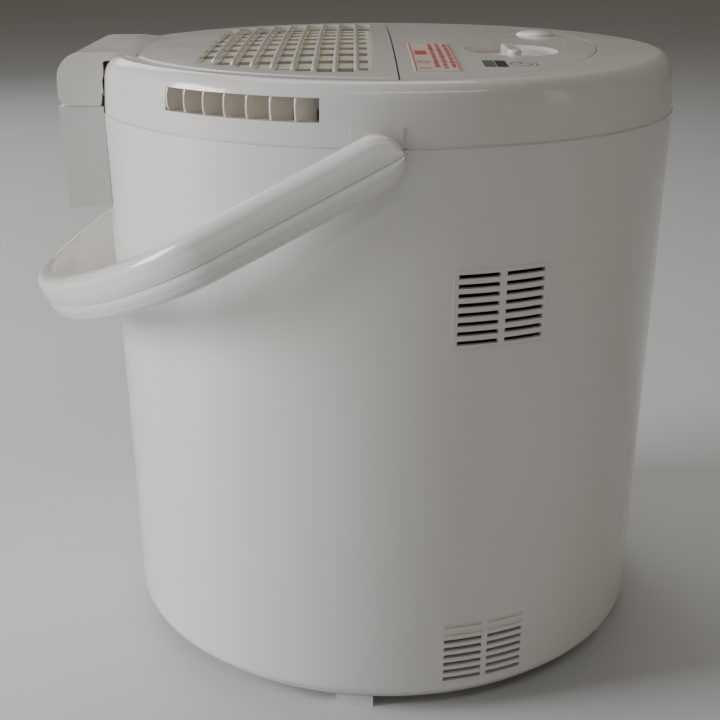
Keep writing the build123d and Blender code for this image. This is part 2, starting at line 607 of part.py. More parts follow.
with BuildPart() as handle_lower:
    with BuildSketch(bail_plane(-HALF_H + 0.5)):
        add(bail_outline(HANDLE_HALF_W - 0.5, HANDLE_IN + 0.5,
                         HANDLE_REACH - 0.5, HANDLE_REACH - BAR_T + 0.5))
    extrude(amount=HALF_H + PARTING_H - 0.5)
    add(bail_ends(HALF_H - 0.5, HANDLE_HALF_W - 0.5))
    split(bisect_by=bail_plane(PARTING_H), keep=Keep.BOTTOM)
handle_lower.part.label = "handle_lower"
export_step(handle_lower.part, "parts/handle_lower.step")

with BuildPart() as pivot_pins:
    for side in (1, -1):
        for radius, y0, y1 in ((PIVOT_PIN_R, 146.2, HANDLE_IN), (8.5, 144.2, 146.2)):
            with BuildSketch(Plane.XZ.offset(-side * y0)):
                with Locations((PIVOT_X, PIVOT_Z)):
                    Circle(radius)
            extrude(amount=-side * (y1 - y0))
pivot_pins.part.label = "pivot_pins"
export_step(pivot_pins.part, "parts/pivot_pins.step")

with BuildPart() as handle_bushes:
    for side in (1, -1):
        for radius, y0, y1 in ((BUSH_R, 146.8, 160.9), (BUSH_R + 1.5, 146.8, 148.4)):
            with BuildSketch(Plane.XZ.offset(-side * y0)):
                with Locations((PIVOT_X, PIVOT_Z)):
                    Circle(radius)
            extrude(amount=-side * (y1 - y0))
    with BuildSketch(Plane.XZ):
        with Locations((PIVOT_X, PIVOT_Z)):
            Circle(PIVOT_PIN_R + 0.06)
    extrude(amount=180, both=True, mode=Mode.SUBTRACT)
handle_bushes.part.label = "handle_bushes"
export_step(handle_bushes.part, "parts/handle_bushes.step")

# ================================================================ controls
with BuildPart() as control_panel:
    with BuildSketch(Plane.XZ):
        add(dome_section(LID_OPENING_R, DOME_T))
    revolve(axis=Axis.Z)
    split(bisect_by=Plane.YZ.offset(SPLIT_X + SPLIT_GAP / 2), keep=Keep.TOP)
    with BuildSketch(Plane.XY.offset(320)):
        Ellipse(PANEL_A - PANEL_GAP, PANEL_B - PANEL_GAP)
    extrude(amount=40, mode=Mode.INTERSECT)
    # the knob's dish and the button's collar
    with BuildSketch(Plane.XY.offset(DISH_Z - 2)):
        with Locations((KNOB_X, KNOB_Y)):
            Circle(DISH_R + 2)
        with Locations((BUTTON_X, BUTTON_Y)):
            Circle(BUTTON_R + 2.2)
    extrude(amount=8.4)
    with BuildSketch(Plane.XY.offset(DISH_Z)):
        with Locations((KNOB_X, KNOB_Y)):
            Circle(DISH_R)
    extrude(amount=30, mode=Mode.SUBTRACT)
    with BuildSketch(Plane.XY.offset(DISH_Z - 5)):
        with Locations((KNOB_X, KNOB_Y)):
            Circle(4.0)
        with Locations((BUTTON_X, BUTTON_Y)):
            Circle(BUTTON_R + 0.25)
        with Locations((LED_X, LED_Y)):
            Circle(1.6)
        with Locations(*WINDOW_XY):
            Rectangle(WINDOW_W + 0.1, WINDOW_H + 0.1)
    extrude(amount=30, mode=Mode.SUBTRACT)
control_panel.part.label = "control_panel"
export_step(control_panel.part, "parts/control_panel.step")

with BuildPart() as display_windows:
    with BuildSketch(Plane.XZ):
        add(dome_section(LID_OPENING_R, WINDOW_T, CROWN_Z + 0.1))
    revolve(axis=Axis.Z)
    with BuildSketch(Plane.XY.offset(320)):
        with Locations(*WINDOW_XY):
            Rectangle(WINDOW_W, WINDOW_H)
    extrude(amount=40, mode=Mode.INTERSECT)
display_windows.part.label = "display_windows"
export_step(display_windows.part, "parts/display_windows.step")

with BuildPart() as status_led:
    with BuildSketch(Plane.XY.offset(CONTROL_BOARD_Z + 1.6)):
        with Locations((LED_X, LED_Y)):
            Circle(1.5)
    extrude(amount=dome_z(LED_X) - CONTROL_BOARD_Z - 1.6 - 0.2)
status_led.part.label = "status_led"
export_step(status_led.part, "parts/status_led.step")

with BuildPart() as function_label:
    with BuildSketch(Plane.XZ):
        add(dome_section(LID_OPENING_R, LABEL_T, CROWN_Z + LABEL_T))
    revolve(axis=Axis.Z)
    with BuildSketch(Plane.XY.offset(320)):
        with Locations((LABEL_X, LABEL_Y)):
            Rectangle(LABEL_W, LABEL_H)
    extrude(amount=40, mode=Mode.INTERSECT)
function_label.part.label = "function_label"
export_step(function_label.part, "parts/function_label.step")

with BuildPart() as mode_knob:
    with BuildSketch(Plane.XY.offset(DISH_Z + 0.5)):
        with Locations((KNOB_X, KNOB_Y)):
            Circle(21)
    extrude(amount=3.5)
    with BuildSketch(Plane.XY.offset(DISH_Z + 3)):
        with Locations((KNOB_X, KNOB_Y)):
            SlotOverall(38, 8, rotation=90)
    extrude(amount=6.5, taper=4)
    fillet(faces().sort_by(Axis.Z)[-1].edges(), 1.2)
    with BuildSketch(Plane.XY.offset(CONTROL_BOARD_Z + 4)):
        with Locations((KNOB_X, KNOB_Y)):
            Circle(3.0)
    extrude(until=Until.NEXT)
mode_knob.part.label = "mode_knob"
export_step(mode_knob.part, "parts/mode_knob.step")

with BuildPart() as selector_switch:
    with BuildSketch(Plane.XY.offset(CONTROL_BOARD_Z + 1.6)):
        with Locations((KNOB_X, KNOB_Y)):
            Rectangle(18, 18)
    extrude(amount=5.6)
    with BuildSketch(Plane.XY.offset(CONTROL_BOARD_Z + 3.6)):
        with Locations((KNOB_X, KNOB_Y)):
            Circle(3.06)
    extrude(amount=10, mode=Mode.SUBTRACT)
selector_switch.part.label = "selector_switch"
export_step(selector_switch.part, "parts/selector_switch.step")

BUTTON_TOP = dome_z(sqrt(BUTTON_X**2 + BUTTON_Y**2)) + 2.6
with BuildPart() as power_button:
    with BuildSketch(Plane.XY.offset(BUTTON_TOP - 6.6)):
        with Locations((BUTTON_X, BUTTON_Y)):
            Circle(BUTTON_R)
    extrude(amount=6.6)
    fillet(edges().filter_by(GeomType.CIRCLE).sort_by(Axis.Z)[-1], 2.4)
    with BuildSketch(Plane.XY.offset(CONTROL_BOARD_Z + 6.2)):
        with Locations((BUTTON_X, BUTTON_Y)):
            Circle(2)
    extrude(until=Until.NEXT)
power_button.part.label = "power_button"
export_step(power_button.part, "parts/power_button.step")

with BuildPart() as button_switch:
    with BuildSketch(Plane.XY.offset(CONTROL_BOARD_Z + 1.6)):
        with Locations((BUTTON_X, BUTTON_Y)):
            Rectangle(6, 6)
    extrude(amount=3.0)
button_switch.part.label = "button_switch"
export_step(button_switch.part, "parts/button_switch.step")

with BuildPart() as control_board:
    with BuildSketch(Plane.XY.offset(CONTROL_BOARD_Z)):
        with Locations((68, 0)):
            Rectangle(72, 150)
    extrude(amount=1.6)
    # posts that hang it from the panel
    with BuildSketch(Plane.XY.offset(CONTROL_BOARD_Z + 1.6)):
        with Locations((38, 66), (38, -66), (97, 16)):
            Circle(3)
    extrude(amount=dome_z(120) - DOME_T - CONTROL_BOARD_Z - 2.6)
control_board.part.label = "control_board"
export_step(control_board.part, "parts/control_board.step")

# ================================================================ drying unit
RING_PITCH_R = GEAR_MODULE * RING_TEETH / 2
PINION_PITCH_R = GEAR_MODULE * PINION_TEETH / 2
pinion_dy, pinion_dz = polar_xy(RING_PITCH_R + PINION_PITCH_R, PINION_ANGLE)
pinion_yz = (pinion_dy, ROTOR_Z + pinion_dz)

with BuildPart() as bulkhead:
    with BuildSketch(Plane.YZ.offset(BULKHEAD_X0)):
        with Locations((0, (BULKHEAD_Z0 + BULKHEAD_Z1) / 2)):
            Rectangle(284, BULKHEAD_Z1 - BULKHEAD_Z0)
        with Locations((0, ROTOR_Z)):
            Circle(69, mode=Mode.SUBTRACT)
            Circle(10)
            with PolarLocations(0, 3):
                Rectangle(142, 6)
        with Locations((0, ROTOR_Z)):
            Circle(4.02, mode=Mode.SUBTRACT)
        with Locations(pinion_yz):
            Circle(3.5, mode=Mode.SUBTRACT)
    extrude(amount=BULKHEAD_X1 - BULKHEAD_X0)
bulkhead.part.label = "bulkhead"
export_step(bulkhead.part, "parts/bulkhead.step")

with BuildPart() as rotor_axle:
    with BuildSketch(Plane.YZ.offset(-8)):
        with Locations((0, ROTOR_Z)):
            Circle(4)
    extrude(amount=8 + BULKHEAD_X1 + 3)
    with BuildSketch(Plane.YZ.offset(-8)):
        with Locations((0, ROTOR_Z)):
            Circle(7)
    extrude(amount=2)
rotor_axle.part.label = "rotor_axle"
export_step(rotor_axle.part, "parts/rotor_axle.step")

with BuildPart() as zeolite_disc:
    with BuildSketch(Plane.YZ.offset(ROTOR_X0)):
        with Locations((0, ROTOR_Z)):
            Circle(68)
            Circle(8, mode=Mode.SUBTRACT)
    extrude(amount=ROTOR_X1 - ROTOR_X0)
zeolite_disc.part.label = "zeolite_disc"
export_step(zeolite_disc.part, "parts/zeolite_disc.step")

with BuildPart() as rotor_ring:
    with BuildSketch(Plane.YZ.offset(1)):
        with Locations((0, ROTOR_Z)):
            add(gear_sketch(RING_TEETH, RING_PITCH_R, PINION_ANGLE + 180 / RING_TEETH))
            Circle(68.05, mode=Mode.SUBTRACT)
    extrude(amount=6)
    with BuildSketch(Plane.YZ.offset(ROTOR_X0)):
        with Locations((0, ROTOR_Z)):
            Circle(72)
            Circle(68.05, mode=Mode.SUBTRACT)
            Circle(7.95)
            Circle(4.06, mode=Mode.SUBTRACT)
    extrude(amount=ROTOR_X1 - ROTOR_X0)
    # spokes in front of the disc tie the hub to the ring
    with BuildSketch(Plane.YZ.offset(ROTOR_X0 - 1.5)):
        with Locations((0, ROTOR_Z)):
            with PolarLocations(0, 4):
                Rectangle(142, 4)
            Circle(7.95)
            Circle(4.06, mode=Mode.SUBTRACT)
    extrude(amount=1.5)
rotor_ring.part.label = "rotor_ring"
export_step(rotor_ring.part, "parts/rotor_ring.step")

with BuildPart() as drive_pinion:
    with BuildSketch(Plane.YZ.offset(1)):
        with Locations(pinion_yz):
            add(gear_sketch(PINION_TEETH, PINION_PITCH_R, PINION_ANGLE + 180))
    extrude(amount=6)
    with BuildSketch(Plane.YZ.offset(7)):
        with Locations(pinion_yz):
            Circle(2.5)
    extrude(amount=BULKHEAD_X1 + 3 - 7)
drive_pinion.part.label = "drive_pinion"
export_step(drive_pinion.part, "parts/drive_pinion.step")

with BuildPart() as rotor_motor:
    with BuildSketch(Plane.YZ.offset(BULKHEAD_X1)):
        with Locations(pinion_yz):
            Circle(15)
    extrude(amount=20)
    with BuildSketch(Plane.YZ.offset(BULKHEAD_X1)):
        with Locations(pinion_yz):
            Circle(2.56)
    extrude(amount=4, mode=Mode.SUBTRACT)
rotor_motor.part.label = "rotor_motor"
export_step(rotor_motor.part, "parts/rotor_motor.step")

with BuildPart() as condenser:
    for z, height in ((CONDENSER_Z0, 12), (CONDENSER_Z1 - 12, 12)):
        with BuildSketch(Plane.XY.offset(z)):
            with Locations((CONDENSER_X, 0)):
                RectangleRounded(14, 156, 5)
        extrude(amount=height)
    with BuildSketch(Plane.XY.offset(CONDENSER_Z0 + 6)):
        with Locations((CONDENSER_X, 0)):
            with GridLocations(1, 11.2, 1, 13):
                RectangleRounded(9, 6, 2.4)
    extrude(amount=CONDENSER_Z1 - CONDENSER_Z0 - 12)
condenser.part.label = "condenser"
export_step(condenser.part, "parts/condenser.step")

with BuildPart() as drip_tray:
    with BuildSketch(Plane.XY.offset(CONDENSER_Z0 - 8)):
        with Locations((CONDENSER_X - 2, 0)):
            Rectangle(22, 168)
    extrude(amount=8)
    with BuildSketch(Plane.XY.offset(CONDENSER_Z0 - 6)):
        with Locations((CONDENSER_X - 2, 0)):
            Rectangle(18, 164)
    extrude(amount=8, mode=Mode.SUBTRACT)
    # drain spout
    with BuildSketch(Plane.XY.offset(CONDENSER_Z0 - 13)):
        with Locations((CONDENSER_X - 6, 0)):
            Circle(5)
    extrude(amount=5)
    with BuildSketch(Plane.XY.offset(CONDENSER_Z0 - 14)):
        with Locations((CONDENSER_X - 6, 0)):
            Circle(3.4)
    extrude(amount=10, mode=Mode.SUBTRACT)
drip_tray.part.label = "drip_tray"
export_step(drip_tray.part, "parts/drip_tray.step")

with BuildPart() as heater:
    with BuildSketch(Plane.YZ.offset(BULKHEAD_X1 + 1)):
        with BuildLine():
            rim = [polar_xy(70, angle) for angle in (118, 90, 62)]
            Polyline((0, ROTOR_Z), *[(y, ROTOR_Z + z) for y, z in rim], close=True)
        make_face()
        with Locations((0, ROTOR_Z)):
            Circle(14, mode=Mode.SUBTRACT)
        with Locations((0, ROTOR_Z)):
            Circle(54, mode=Mode.INTERSECT)
    extrude(amount=6)
heater.part.label = "heater"
export_step(heater.part, "parts/heater.step")

with BuildPart() as suction_hood:
    for grow, mode in ((0.0, Mode.ADD), (-2.2, Mode.SUBTRACT)):
        with BuildSketch(Plane.YZ.offset(BULKHEAD_X1)):
            with Locations((0, ROTOR_Z)):
                Circle(72 + grow)
        with BuildSketch(Plane.YZ.offset(FAN_X0)):
            with Locations((FAN_Y, FAN_Z)):
                Circle(38 + grow)
        loft(mode=mode)
suction_hood.part.label = "suction_hood"
export_step(suction_hood.part, "parts/suction_hood.step")

with BuildPart() as fan_scroll:
    for shrink, x0, mode in ((0.0, FAN_X0 + 2.4, Mode.ADD), (2.2, FAN_X0 + 2, Mode.SUBTRACT)):
        with BuildSketch(Plane.YZ.offset(x0)):
            with Locations((FAN_Y, FAN_Z)):
                Circle(SCROLL_R - shrink)
            with Locations(((FAN_Y - DUCT_END_Y) / 2, FAN_Z - SCROLL_R + DUCT_H / 2)):
                Rectangle(DUCT_END_Y + FAN_Y + 2 * shrink, DUCT_H - 2 * shrink)
        extrude(amount=FAN_X1 - x0 - shrink, mode=mode)
    # the duct ends close behind the shell's vent
    with BuildSketch(Plane.XY.offset(180)):
        Circle(300)
        Circle(DUCT_END_R, mode=Mode.SUBTRACT)
    extrude(amount=160, mode=Mode.SUBTRACT)
    with BuildSketch(Plane.YZ.offset(FAN_X1 - 5)):
        with Locations((FAN_Y, FAN_Z)):
            Circle(9)
    extrude(amount=10, mode=Mode.SUBTRACT)
fan_scroll.part.label = "fan_scroll"
export_step(fan_scroll.part, "parts/fan_scroll.step")

with BuildPart() as scroll_cover:
    with BuildSketch(Plane.YZ.offset(FAN_X0)):
        with Locations((FAN_Y, FAN_Z)):
            Circle(SCROLL_R)
        with Locations(((FAN_Y - DUCT_END_Y) / 2, FAN_Z - SCROLL_R + DUCT_H / 2)):
            Rectangle(DUCT_END_Y + FAN_Y, DUCT_H)
        with Locations((FAN_Y, FAN_Z)):
            Circle(35, mode=Mode.SUBTRACT)
    extrude(amount=2.3)
    with BuildSketch(Plane.XY.offset(180)):
        Circle(300)
        Circle(DUCT_END_R, mode=Mode.SUBTRACT)
    extrude(amount=160, mode=Mode.SUBTRACT)
scroll_cover.part.label = "scroll_cover"
export_step(scroll_cover.part, "parts/scroll_cover.step")

with BuildPart() as impeller:
    with BuildSketch(Plane.YZ.offset(FAN_X1 - 10)):
        with Locations((FAN_Y, FAN_Z)):
            Circle(IMPELLER_R)
            Circle(3.06, mode=Mode.SUBTRACT)
    extrude(amount=2)
    with BuildSketch(Plane.YZ.offset(FAN_X1 - 26)):
        with Locations((FAN_Y, FAN_Z)):
            Circle(9)
            Circle(3.06, mode=Mode.SUBTRACT)
    extrude(amount=16)
    with BuildSketch(Plane.YZ.offset(FAN_X0 + 6)):
        with Locations((FAN_Y, FAN_Z)):
            Circle(IMPELLER_R)
            Circle(IMPELLER_R - 6, mode=Mode.SUBTRACT)
    extrude(amount=2)
    with BuildSketch(Plane.YZ.offset(FAN_X0 + 7)):
        with Locations((FAN_Y, FAN_Z)):
            with PolarLocations(IMPELLER_R - 5, BLADES):
                Rectangle(9, 1.4, rotation=35)
    extrude(amount=FAN_X1 - FAN_X0 - 16)
impeller.part.label = "impeller"
export_step(impeller.part, "parts/impeller.step")

with BuildPart() as fan_motor:
    with BuildSketch(Plane.YZ.offset(FAN_X1)):
        with Locations((FAN_Y, FAN_Z)):
            Circle(24)
    extrude(amount=34)
    with BuildSketch(Plane.YZ.offset(FAN_X1 - 24)):
        with Locations((FAN_Y, FAN_Z)):
            Circle(3)
    extrude(amount=26)
fan_motor.part.label = "fan_motor"
export_step(fan_motor.part, "parts/fan_motor.step")

# ================================================================ water tank
def tank_plan(inset):
    """Plan of the tank: the rear part of a circle, cut off by the tank's flat front."""
    radius, front = TANK_R - inset, TANK_FRONT_X - inset
    half = degrees(asin(sqrt(radius**2 - front**2) / radius))
    with BuildSketch() as plan:
        with BuildLine():
            CenterArc((0, 0), radius, 180 - half, 2 * half)
            Line(polar_xy(radius, 180 - half), polar_xy(radius, 180 + half))
        make_face()
    return plan.sketch


with BuildPart() as water_tank:
    with BuildSketch(Plane.XY.offset(TANK_Z0)):
        add(tank_plan(0))
    extrude(amount=TANK_Z1 - TANK_Z0)
    with BuildSketch(Plane.XY.offset(TANK_Z0 + TANK_WALL)):
        add(tank_plan(TANK_WALL))
    extrude(amount=TANK_Z1 - TANK_Z0, mode=Mode.SUBTRACT)
    # notch that the cover's beak passes through
    with BuildSketch(Plane.YZ.offset(TANK_FRONT_X - 6)):
        with Locations((0, TANK_Z1)):
            Rectangle(20.6, 14.6)
    extrude(amount=10, mode=Mode.SUBTRACT)
water_tank.part.label = "water_tank"
export_step(water_tank.part, "parts/water_tank.step")

with BuildPart() as tank_cover:
    with BuildSketch(Plane.XY.offset(TANK_Z1)):
        add(tank_plan(0))
    extrude(amount=2)
    with BuildSketch(Plane.XY.offset(TANK_Z1 - 3)):
        add(tank_plan(TANK_WALL + 0.2))
        add(tank_plan(TANK_WALL + 2.2), mode=Mode.SUBTRACT)
    extrude(amount=3)
    # beak that reaches under the drain spout, with its channel
    with BuildSketch(Plane.XY.offset(TANK_Z1 - 7)):
        with Locations((TANK_FRONT_X + 3, 0)):
            Rectangle(34, 20)
    extrude(amount=7)
    with BuildSketch(Plane.XY.offset(TANK_Z1 - 5)):
        with Locations((TANK_FRONT_X - 1, 0)):
            Rectangle(38, 16)
    extrude(amount=9, mode=Mode.SUBTRACT)
    # lugs for the carrying handle
    for side in (1, -1):
        with BuildSketch(Plane.XZ.offset(-side * TANK_LUG_Y)):
            with Locations((TANK_HANDLE_X, TANK_HANDLE_Z)):
                Circle(5)
            with Locations((TANK_HANDLE_X, TANK_HANDLE_Z - 3.5)):
                Rectangle(10, 7)
            with Locations((TANK_HANDLE_X, TANK_HANDLE_Z)):
                Circle(2.05, mode=Mode.SUBTRACT)
        extrude(amount=2, both=True)
    # ears for the float's pivot under the cover
    for side in (1, -1):
        with BuildSketch(Plane.XZ.offset(-side * 12)):
            with Locations((FLOAT_X, FLOAT_Z)):
                Circle(4)
            with Locations((FLOAT_X, (FLOAT_Z + TANK_Z1) / 2)):
                Rectangle(8, TANK_Z1 - FLOAT_Z)
            with Locations((FLOAT_X, FLOAT_Z)):
                Circle(1.55, mode=Mode.SUBTRACT)
        extrude(amount=1.5, both=True)
tank_cover.part.label = "tank_cover"
export_step(tank_cover.part, "parts/tank_cover.step")

with BuildPart() as tank_handle:
    with BuildSketch(Plane.XY.offset(TANK_HANDLE_Z - 3)):
        with Locations((TANK_HANDLE_X - 25.2, 0)):
            Rectangle(57.6, 2 * (TANK_LUG_Y - 2.4))
        with Locations((TANK_HANDLE_X - 16, 0)):
            Rectangle(60, 2 * (TANK_LUG_Y - 9), mode=Mode.SUBTRACT)
    extrude(amount=6)
    fillet(edges().filter_by(Axis.Z).sort_by(Axis.X)[:2], 10)
    with BuildSketch(Plane.XZ):
        with Locations((TANK_HANDLE_X, TANK_HANDLE_Z)):
            Circle(2)
    extrude(amount=TANK_LUG_Y + 2, both=True)
    with BuildSketch(Plane.XZ):
        with Locations((TANK_HANDLE_X, TANK_HANDLE_Z)):
            Circle(12)
    extrude(amount=TANK_LUG_Y - 9, both=True, mode=Mode.SUBTRACT)
tank_handle.part.label = "tank_handle"
export_step(tank_handle.part, "parts/tank_handle.step")

with BuildPart() as tank_float:
    with BuildSketch(Plane.XZ):
        with BuildLine():
            Polyline((FLOAT_X + 3, FLOAT_Z - 3), (FLOAT_X + 3, FLOAT_Z + 3), (FLOAT_X - 3, FLOAT_Z + 3),
                     (FLOAT_X - 20, FLOAT_Z - 10), (FLOAT_X - 20, FLOAT_Z - 16), close=True)
        make_face()
    extrude(amount=3, both=True)
    with BuildSketch(Plane.XY.offset(FLOAT_Z - 28)):
        with Locations((FLOAT_X - 34, 0)):
            RectangleRounded(32, 46, 4)
    extrude(amount=16)
    with BuildSketch(Plane.XZ):
        with Locations((FLOAT_X, FLOAT_Z)):
            Circle(1.5)
    extrude(amount=14, both=True)
tank_float.part.label = "tank_float"
export_step(tank_float.part, "parts/tank_float.step")

# ================================================================ electrics and small parts
with BuildPart() as level_switch:
    with BuildSketch(Plane.YZ.offset(BULKHEAD_X0 - 12)):
        with Locations((30, 120)):
            Rectangle(20, 28)
    extrude(amount=12)
level_switch.part.label = "level_switch"
export_step(level_switch.part, "parts/level_switch.step")

with BuildPart() as electronics_box:
    with BuildSketch(Plane.YZ.offset(BULKHEAD_X1)):
        with Locations((0, ELECTRONICS_Z)):
            Rectangle(130, 84)
    extrude(amount=34)
    with BuildSketch(Plane.YZ.offset(BULKHEAD_X1 + 2)):
        with Locations((0, ELECTRONICS_Z)):
            Rectangle(126, 80)
    extrude(amount=40, mode=Mode.SUBTRACT)
electronics_box.part.label = "electronics_box"
export_step(electronics_box.part, "parts/electronics_box.step")

with BuildPart() as power_board:
    with BuildSketch(Plane.YZ.offset(BULKHEAD_X1 + 6)):
        with Locations((0, ELECTRONICS_Z)):
            Rectangle(118, 72)
    extrude(amount=1.6)
    for y, z, width, height, depth in ((-40, -12, 26, 30, 22), (0, 14, 18, 18, 16), (32, -8, 30, 16, 12)):
        with BuildSketch(Plane.YZ.offset(BULKHEAD_X1 + 7.6)):
            with Locations((y, ELECTRONICS_Z + z)):
                Rectangle(width, height)
        extrude(amount=depth)
    with BuildSketch(Plane.YZ.offset(BULKHEAD_X1 + 7.6)):
        with Locations((20, ELECTRONICS_Z + 24), (36, ELECTRONICS_Z + 24)):
            Circle(5)
    extrude(amount=18)
    with BuildSketch(Plane.YZ.offset(BULKHEAD_X1 + 2)):
        with Locations((0, ELECTRONICS_Z)):
            with GridLocations(100, 56, 2, 2):
                Circle(3)
    extrude(amount=4)
power_board.part.label = "power_board"
export_step(power_board.part, "parts/power_board.step")

with BuildPart() as cord_gland:
    with BuildSketch(wall_plane(GLAND_ANGLE, GLAND_Z, body_radius(GLAND_Z) + 0.6)):
        Circle(10)
    extrude(amount=3)
    with BuildSketch(wall_plane(GLAND_ANGLE, GLAND_Z, body_radius(GLAND_Z) - 7)):
        Circle(6.8)
    extrude(amount=8)
    with BuildSketch(wall_plane(GLAND_ANGLE, GLAND_Z, 120)):
        Circle(GLAND_BORE_R)
    extrude(amount=60, mode=Mode.SUBTRACT)
    # the neck is bored wider, so the flange alone grips the cord
    with BuildSketch(wall_plane(GLAND_ANGLE, GLAND_Z, 120)):
        Circle(GLAND_NECK_BORE_R)
    extrude(amount=body_radius(GLAND_Z) + 0.6 - 120, mode=Mode.SUBTRACT)
cord_gland.part.label = "cord_gland"
export_step(cord_gland.part, "parts/cord_gland.step")

with BuildPart() as base_screws:
    for radius, z0, height in ((3.6, 3.8, 2.6), (1.9, 6.4, 7.0)):
        with BuildSketch(Plane.XY.offset(z0)):
            with Locations(*[polar_xy(SCREW_R, a) for a in SCREW_ANGLES]):
                Circle(radius)
        extrude(amount=height)
base_screws.part.label = "base_screws"
export_step(base_screws.part, "parts/base_screws.step")
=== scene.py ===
import json
import random
from math import atan2, cos, degrees, pi, radians, sin, sqrt

import bmesh
import bpy
from mathutils import Matrix, Vector


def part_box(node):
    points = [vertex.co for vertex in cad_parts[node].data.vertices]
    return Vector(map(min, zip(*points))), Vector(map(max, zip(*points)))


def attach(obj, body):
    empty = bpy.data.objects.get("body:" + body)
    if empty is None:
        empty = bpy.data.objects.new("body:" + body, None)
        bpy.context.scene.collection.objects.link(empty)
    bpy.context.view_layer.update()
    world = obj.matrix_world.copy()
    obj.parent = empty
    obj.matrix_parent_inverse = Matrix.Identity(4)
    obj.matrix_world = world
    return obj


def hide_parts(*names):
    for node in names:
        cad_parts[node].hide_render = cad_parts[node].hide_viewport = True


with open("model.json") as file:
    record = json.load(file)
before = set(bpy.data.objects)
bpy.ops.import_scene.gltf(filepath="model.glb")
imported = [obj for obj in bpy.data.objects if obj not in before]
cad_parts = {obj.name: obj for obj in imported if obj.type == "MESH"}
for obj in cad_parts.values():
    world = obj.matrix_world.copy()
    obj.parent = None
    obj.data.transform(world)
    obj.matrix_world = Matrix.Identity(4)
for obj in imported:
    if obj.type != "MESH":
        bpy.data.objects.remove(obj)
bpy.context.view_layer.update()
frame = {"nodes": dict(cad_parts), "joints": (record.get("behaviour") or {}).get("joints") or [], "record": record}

nodes = frame["nodes"]
MM = 0.001

# ---------------------------------------------------------------- driving sizes, most of them from the frame
PIVOT = Vector(next(j for j in frame["joints"] if j["name"] == "handle_swing")["pos_m"])
BAIL_LO, BAIL_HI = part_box("handle_upper")
CROWN_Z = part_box("control_panel")[1].z   # highest point of the domed top
DOME_EDGE_R, DOME_RISE = 149.9 * MM, 4.0 * MM
DOME_R = (DOME_EDGE_R**2 + DOME_RISE**2) / (2 * DOME_RISE)
BODY_FOOT_R, BODY_TOP_R = 152.6 * MM, 160.0 * MM
BODY_FOOT_Z, BODY_TOP_Z = 8.0 * MM, 308.6 * MM


def dome_z(x, y, above=0.0):
    """Height of the domed top over a point of the plan."""
    return CROWN_Z - DOME_R + sqrt(DOME_R**2 - x * x - y * y) + above


# ---------------------------------------------------------------- camera, lights and floor
CAMERA_AT = Vector((-18.3, -731.0, 412.1)) * MM
CAMERA_YAW, CAMERA_PITCH = -0.0047, radians(-19.76)
LENS, SENSOR = 63.08, 36                 # both in millimetres
FLOOR_HALF = 6.0
SKY_COLOUR, SKY_STRENGTH = (0.84, 0.77, 0.66), 0.14
SOFTBOXES = (
    # name, place, target, width and height, watts, colour
    ("left_softbox", (-2.35, -0.4, 0.9), (0, 0, 0.18), (1.0, 1.3), 66, (0.95, 0.97, 1.0)),
    ("right_softbox", (2.2, -1.0, 0.9), (0, 0, 0.2), (0.35, 1.2), 0.9, (1.0, 0.90, 0.78)),
    ("top_softbox", (-0.2, 0.7, 2.1), (0, 0, 0.25), (1.4, 1.0), 9, (1.0, 0.96, 0.90)),
    ("back_softbox", (-0.9, 1.9, 1.3), (0, 0, 0.2), (1.2, 1.0), 7, (1, 1, 1)),
    ("tube_light", (0.3, -1.5, 2.0), (0, 0, 0.3), (1.9, 0.05), 5, (1, 1, 1)),
)


def add_camera():
    data = bpy.data.cameras.new("camera")
    data.lens, data.sensor_width = LENS, SENSOR
    data.clip_start = 0.02
    camera = bpy.data.objects.new("camera", data)
    level = cos(CAMERA_PITCH)
    forward = Vector((-sin(CAMERA_YAW) * level, cos(CAMERA_YAW) * level, sin(CAMERA_PITCH)))
    turn = forward.to_track_quat("-Z", "Y").to_matrix().to_4x4()
    camera.matrix_world = Matrix.Translation(CAMERA_AT) @ turn
    bpy.context.scene.collection.objects.link(camera)
    bpy.context.scene.camera = camera


def add_softbox(name, at, aim, size, watts, colour):
    data = bpy.data.lights.new(name, "AREA")
    data.shape, data.size, data.size_y = "RECTANGLE", *size
    data.energy, data.color = watts, colour
    light = bpy.data.objects.new(name, data)
    turn = (Vector(aim) - Vector(at)).to_track_quat("-Z", "Y").to_matrix().to_4x4()
    light.matrix_world = Matrix.Translation(at) @ turn
    bpy.context.scene.collection.objects.link(light)


def add_studio():
    """Cool light from the camera's left, a dim warm one from its right, and a thin tube for highlights."""
    for softbox in SOFTBOXES:
        add_softbox(*softbox)
    world = bpy.data.worlds.new("studio")
    bpy.context.scene.world = world
    world.use_nodes = True
    background = world.node_tree.nodes["Background"]
    background.inputs["Color"].default_value = (*SKY_COLOUR, 1)
    background.inputs["Strength"].default_value = SKY_STRENGTH


def add_floor():
    half = FLOOR_HALF
    mesh = bpy.data.meshes.new("floor")
    corners = [(-half, -half, 0), (half, -half, 0), (half, half, 0), (-half, half, 0)]
    mesh.from_pydata(corners, [], [(0, 1, 2, 3)])
    floor = bpy.data.objects.new("floor", mesh)
    bpy.context.scene.collection.objects.link(floor)
    floor.data.materials.append(plain_floor())


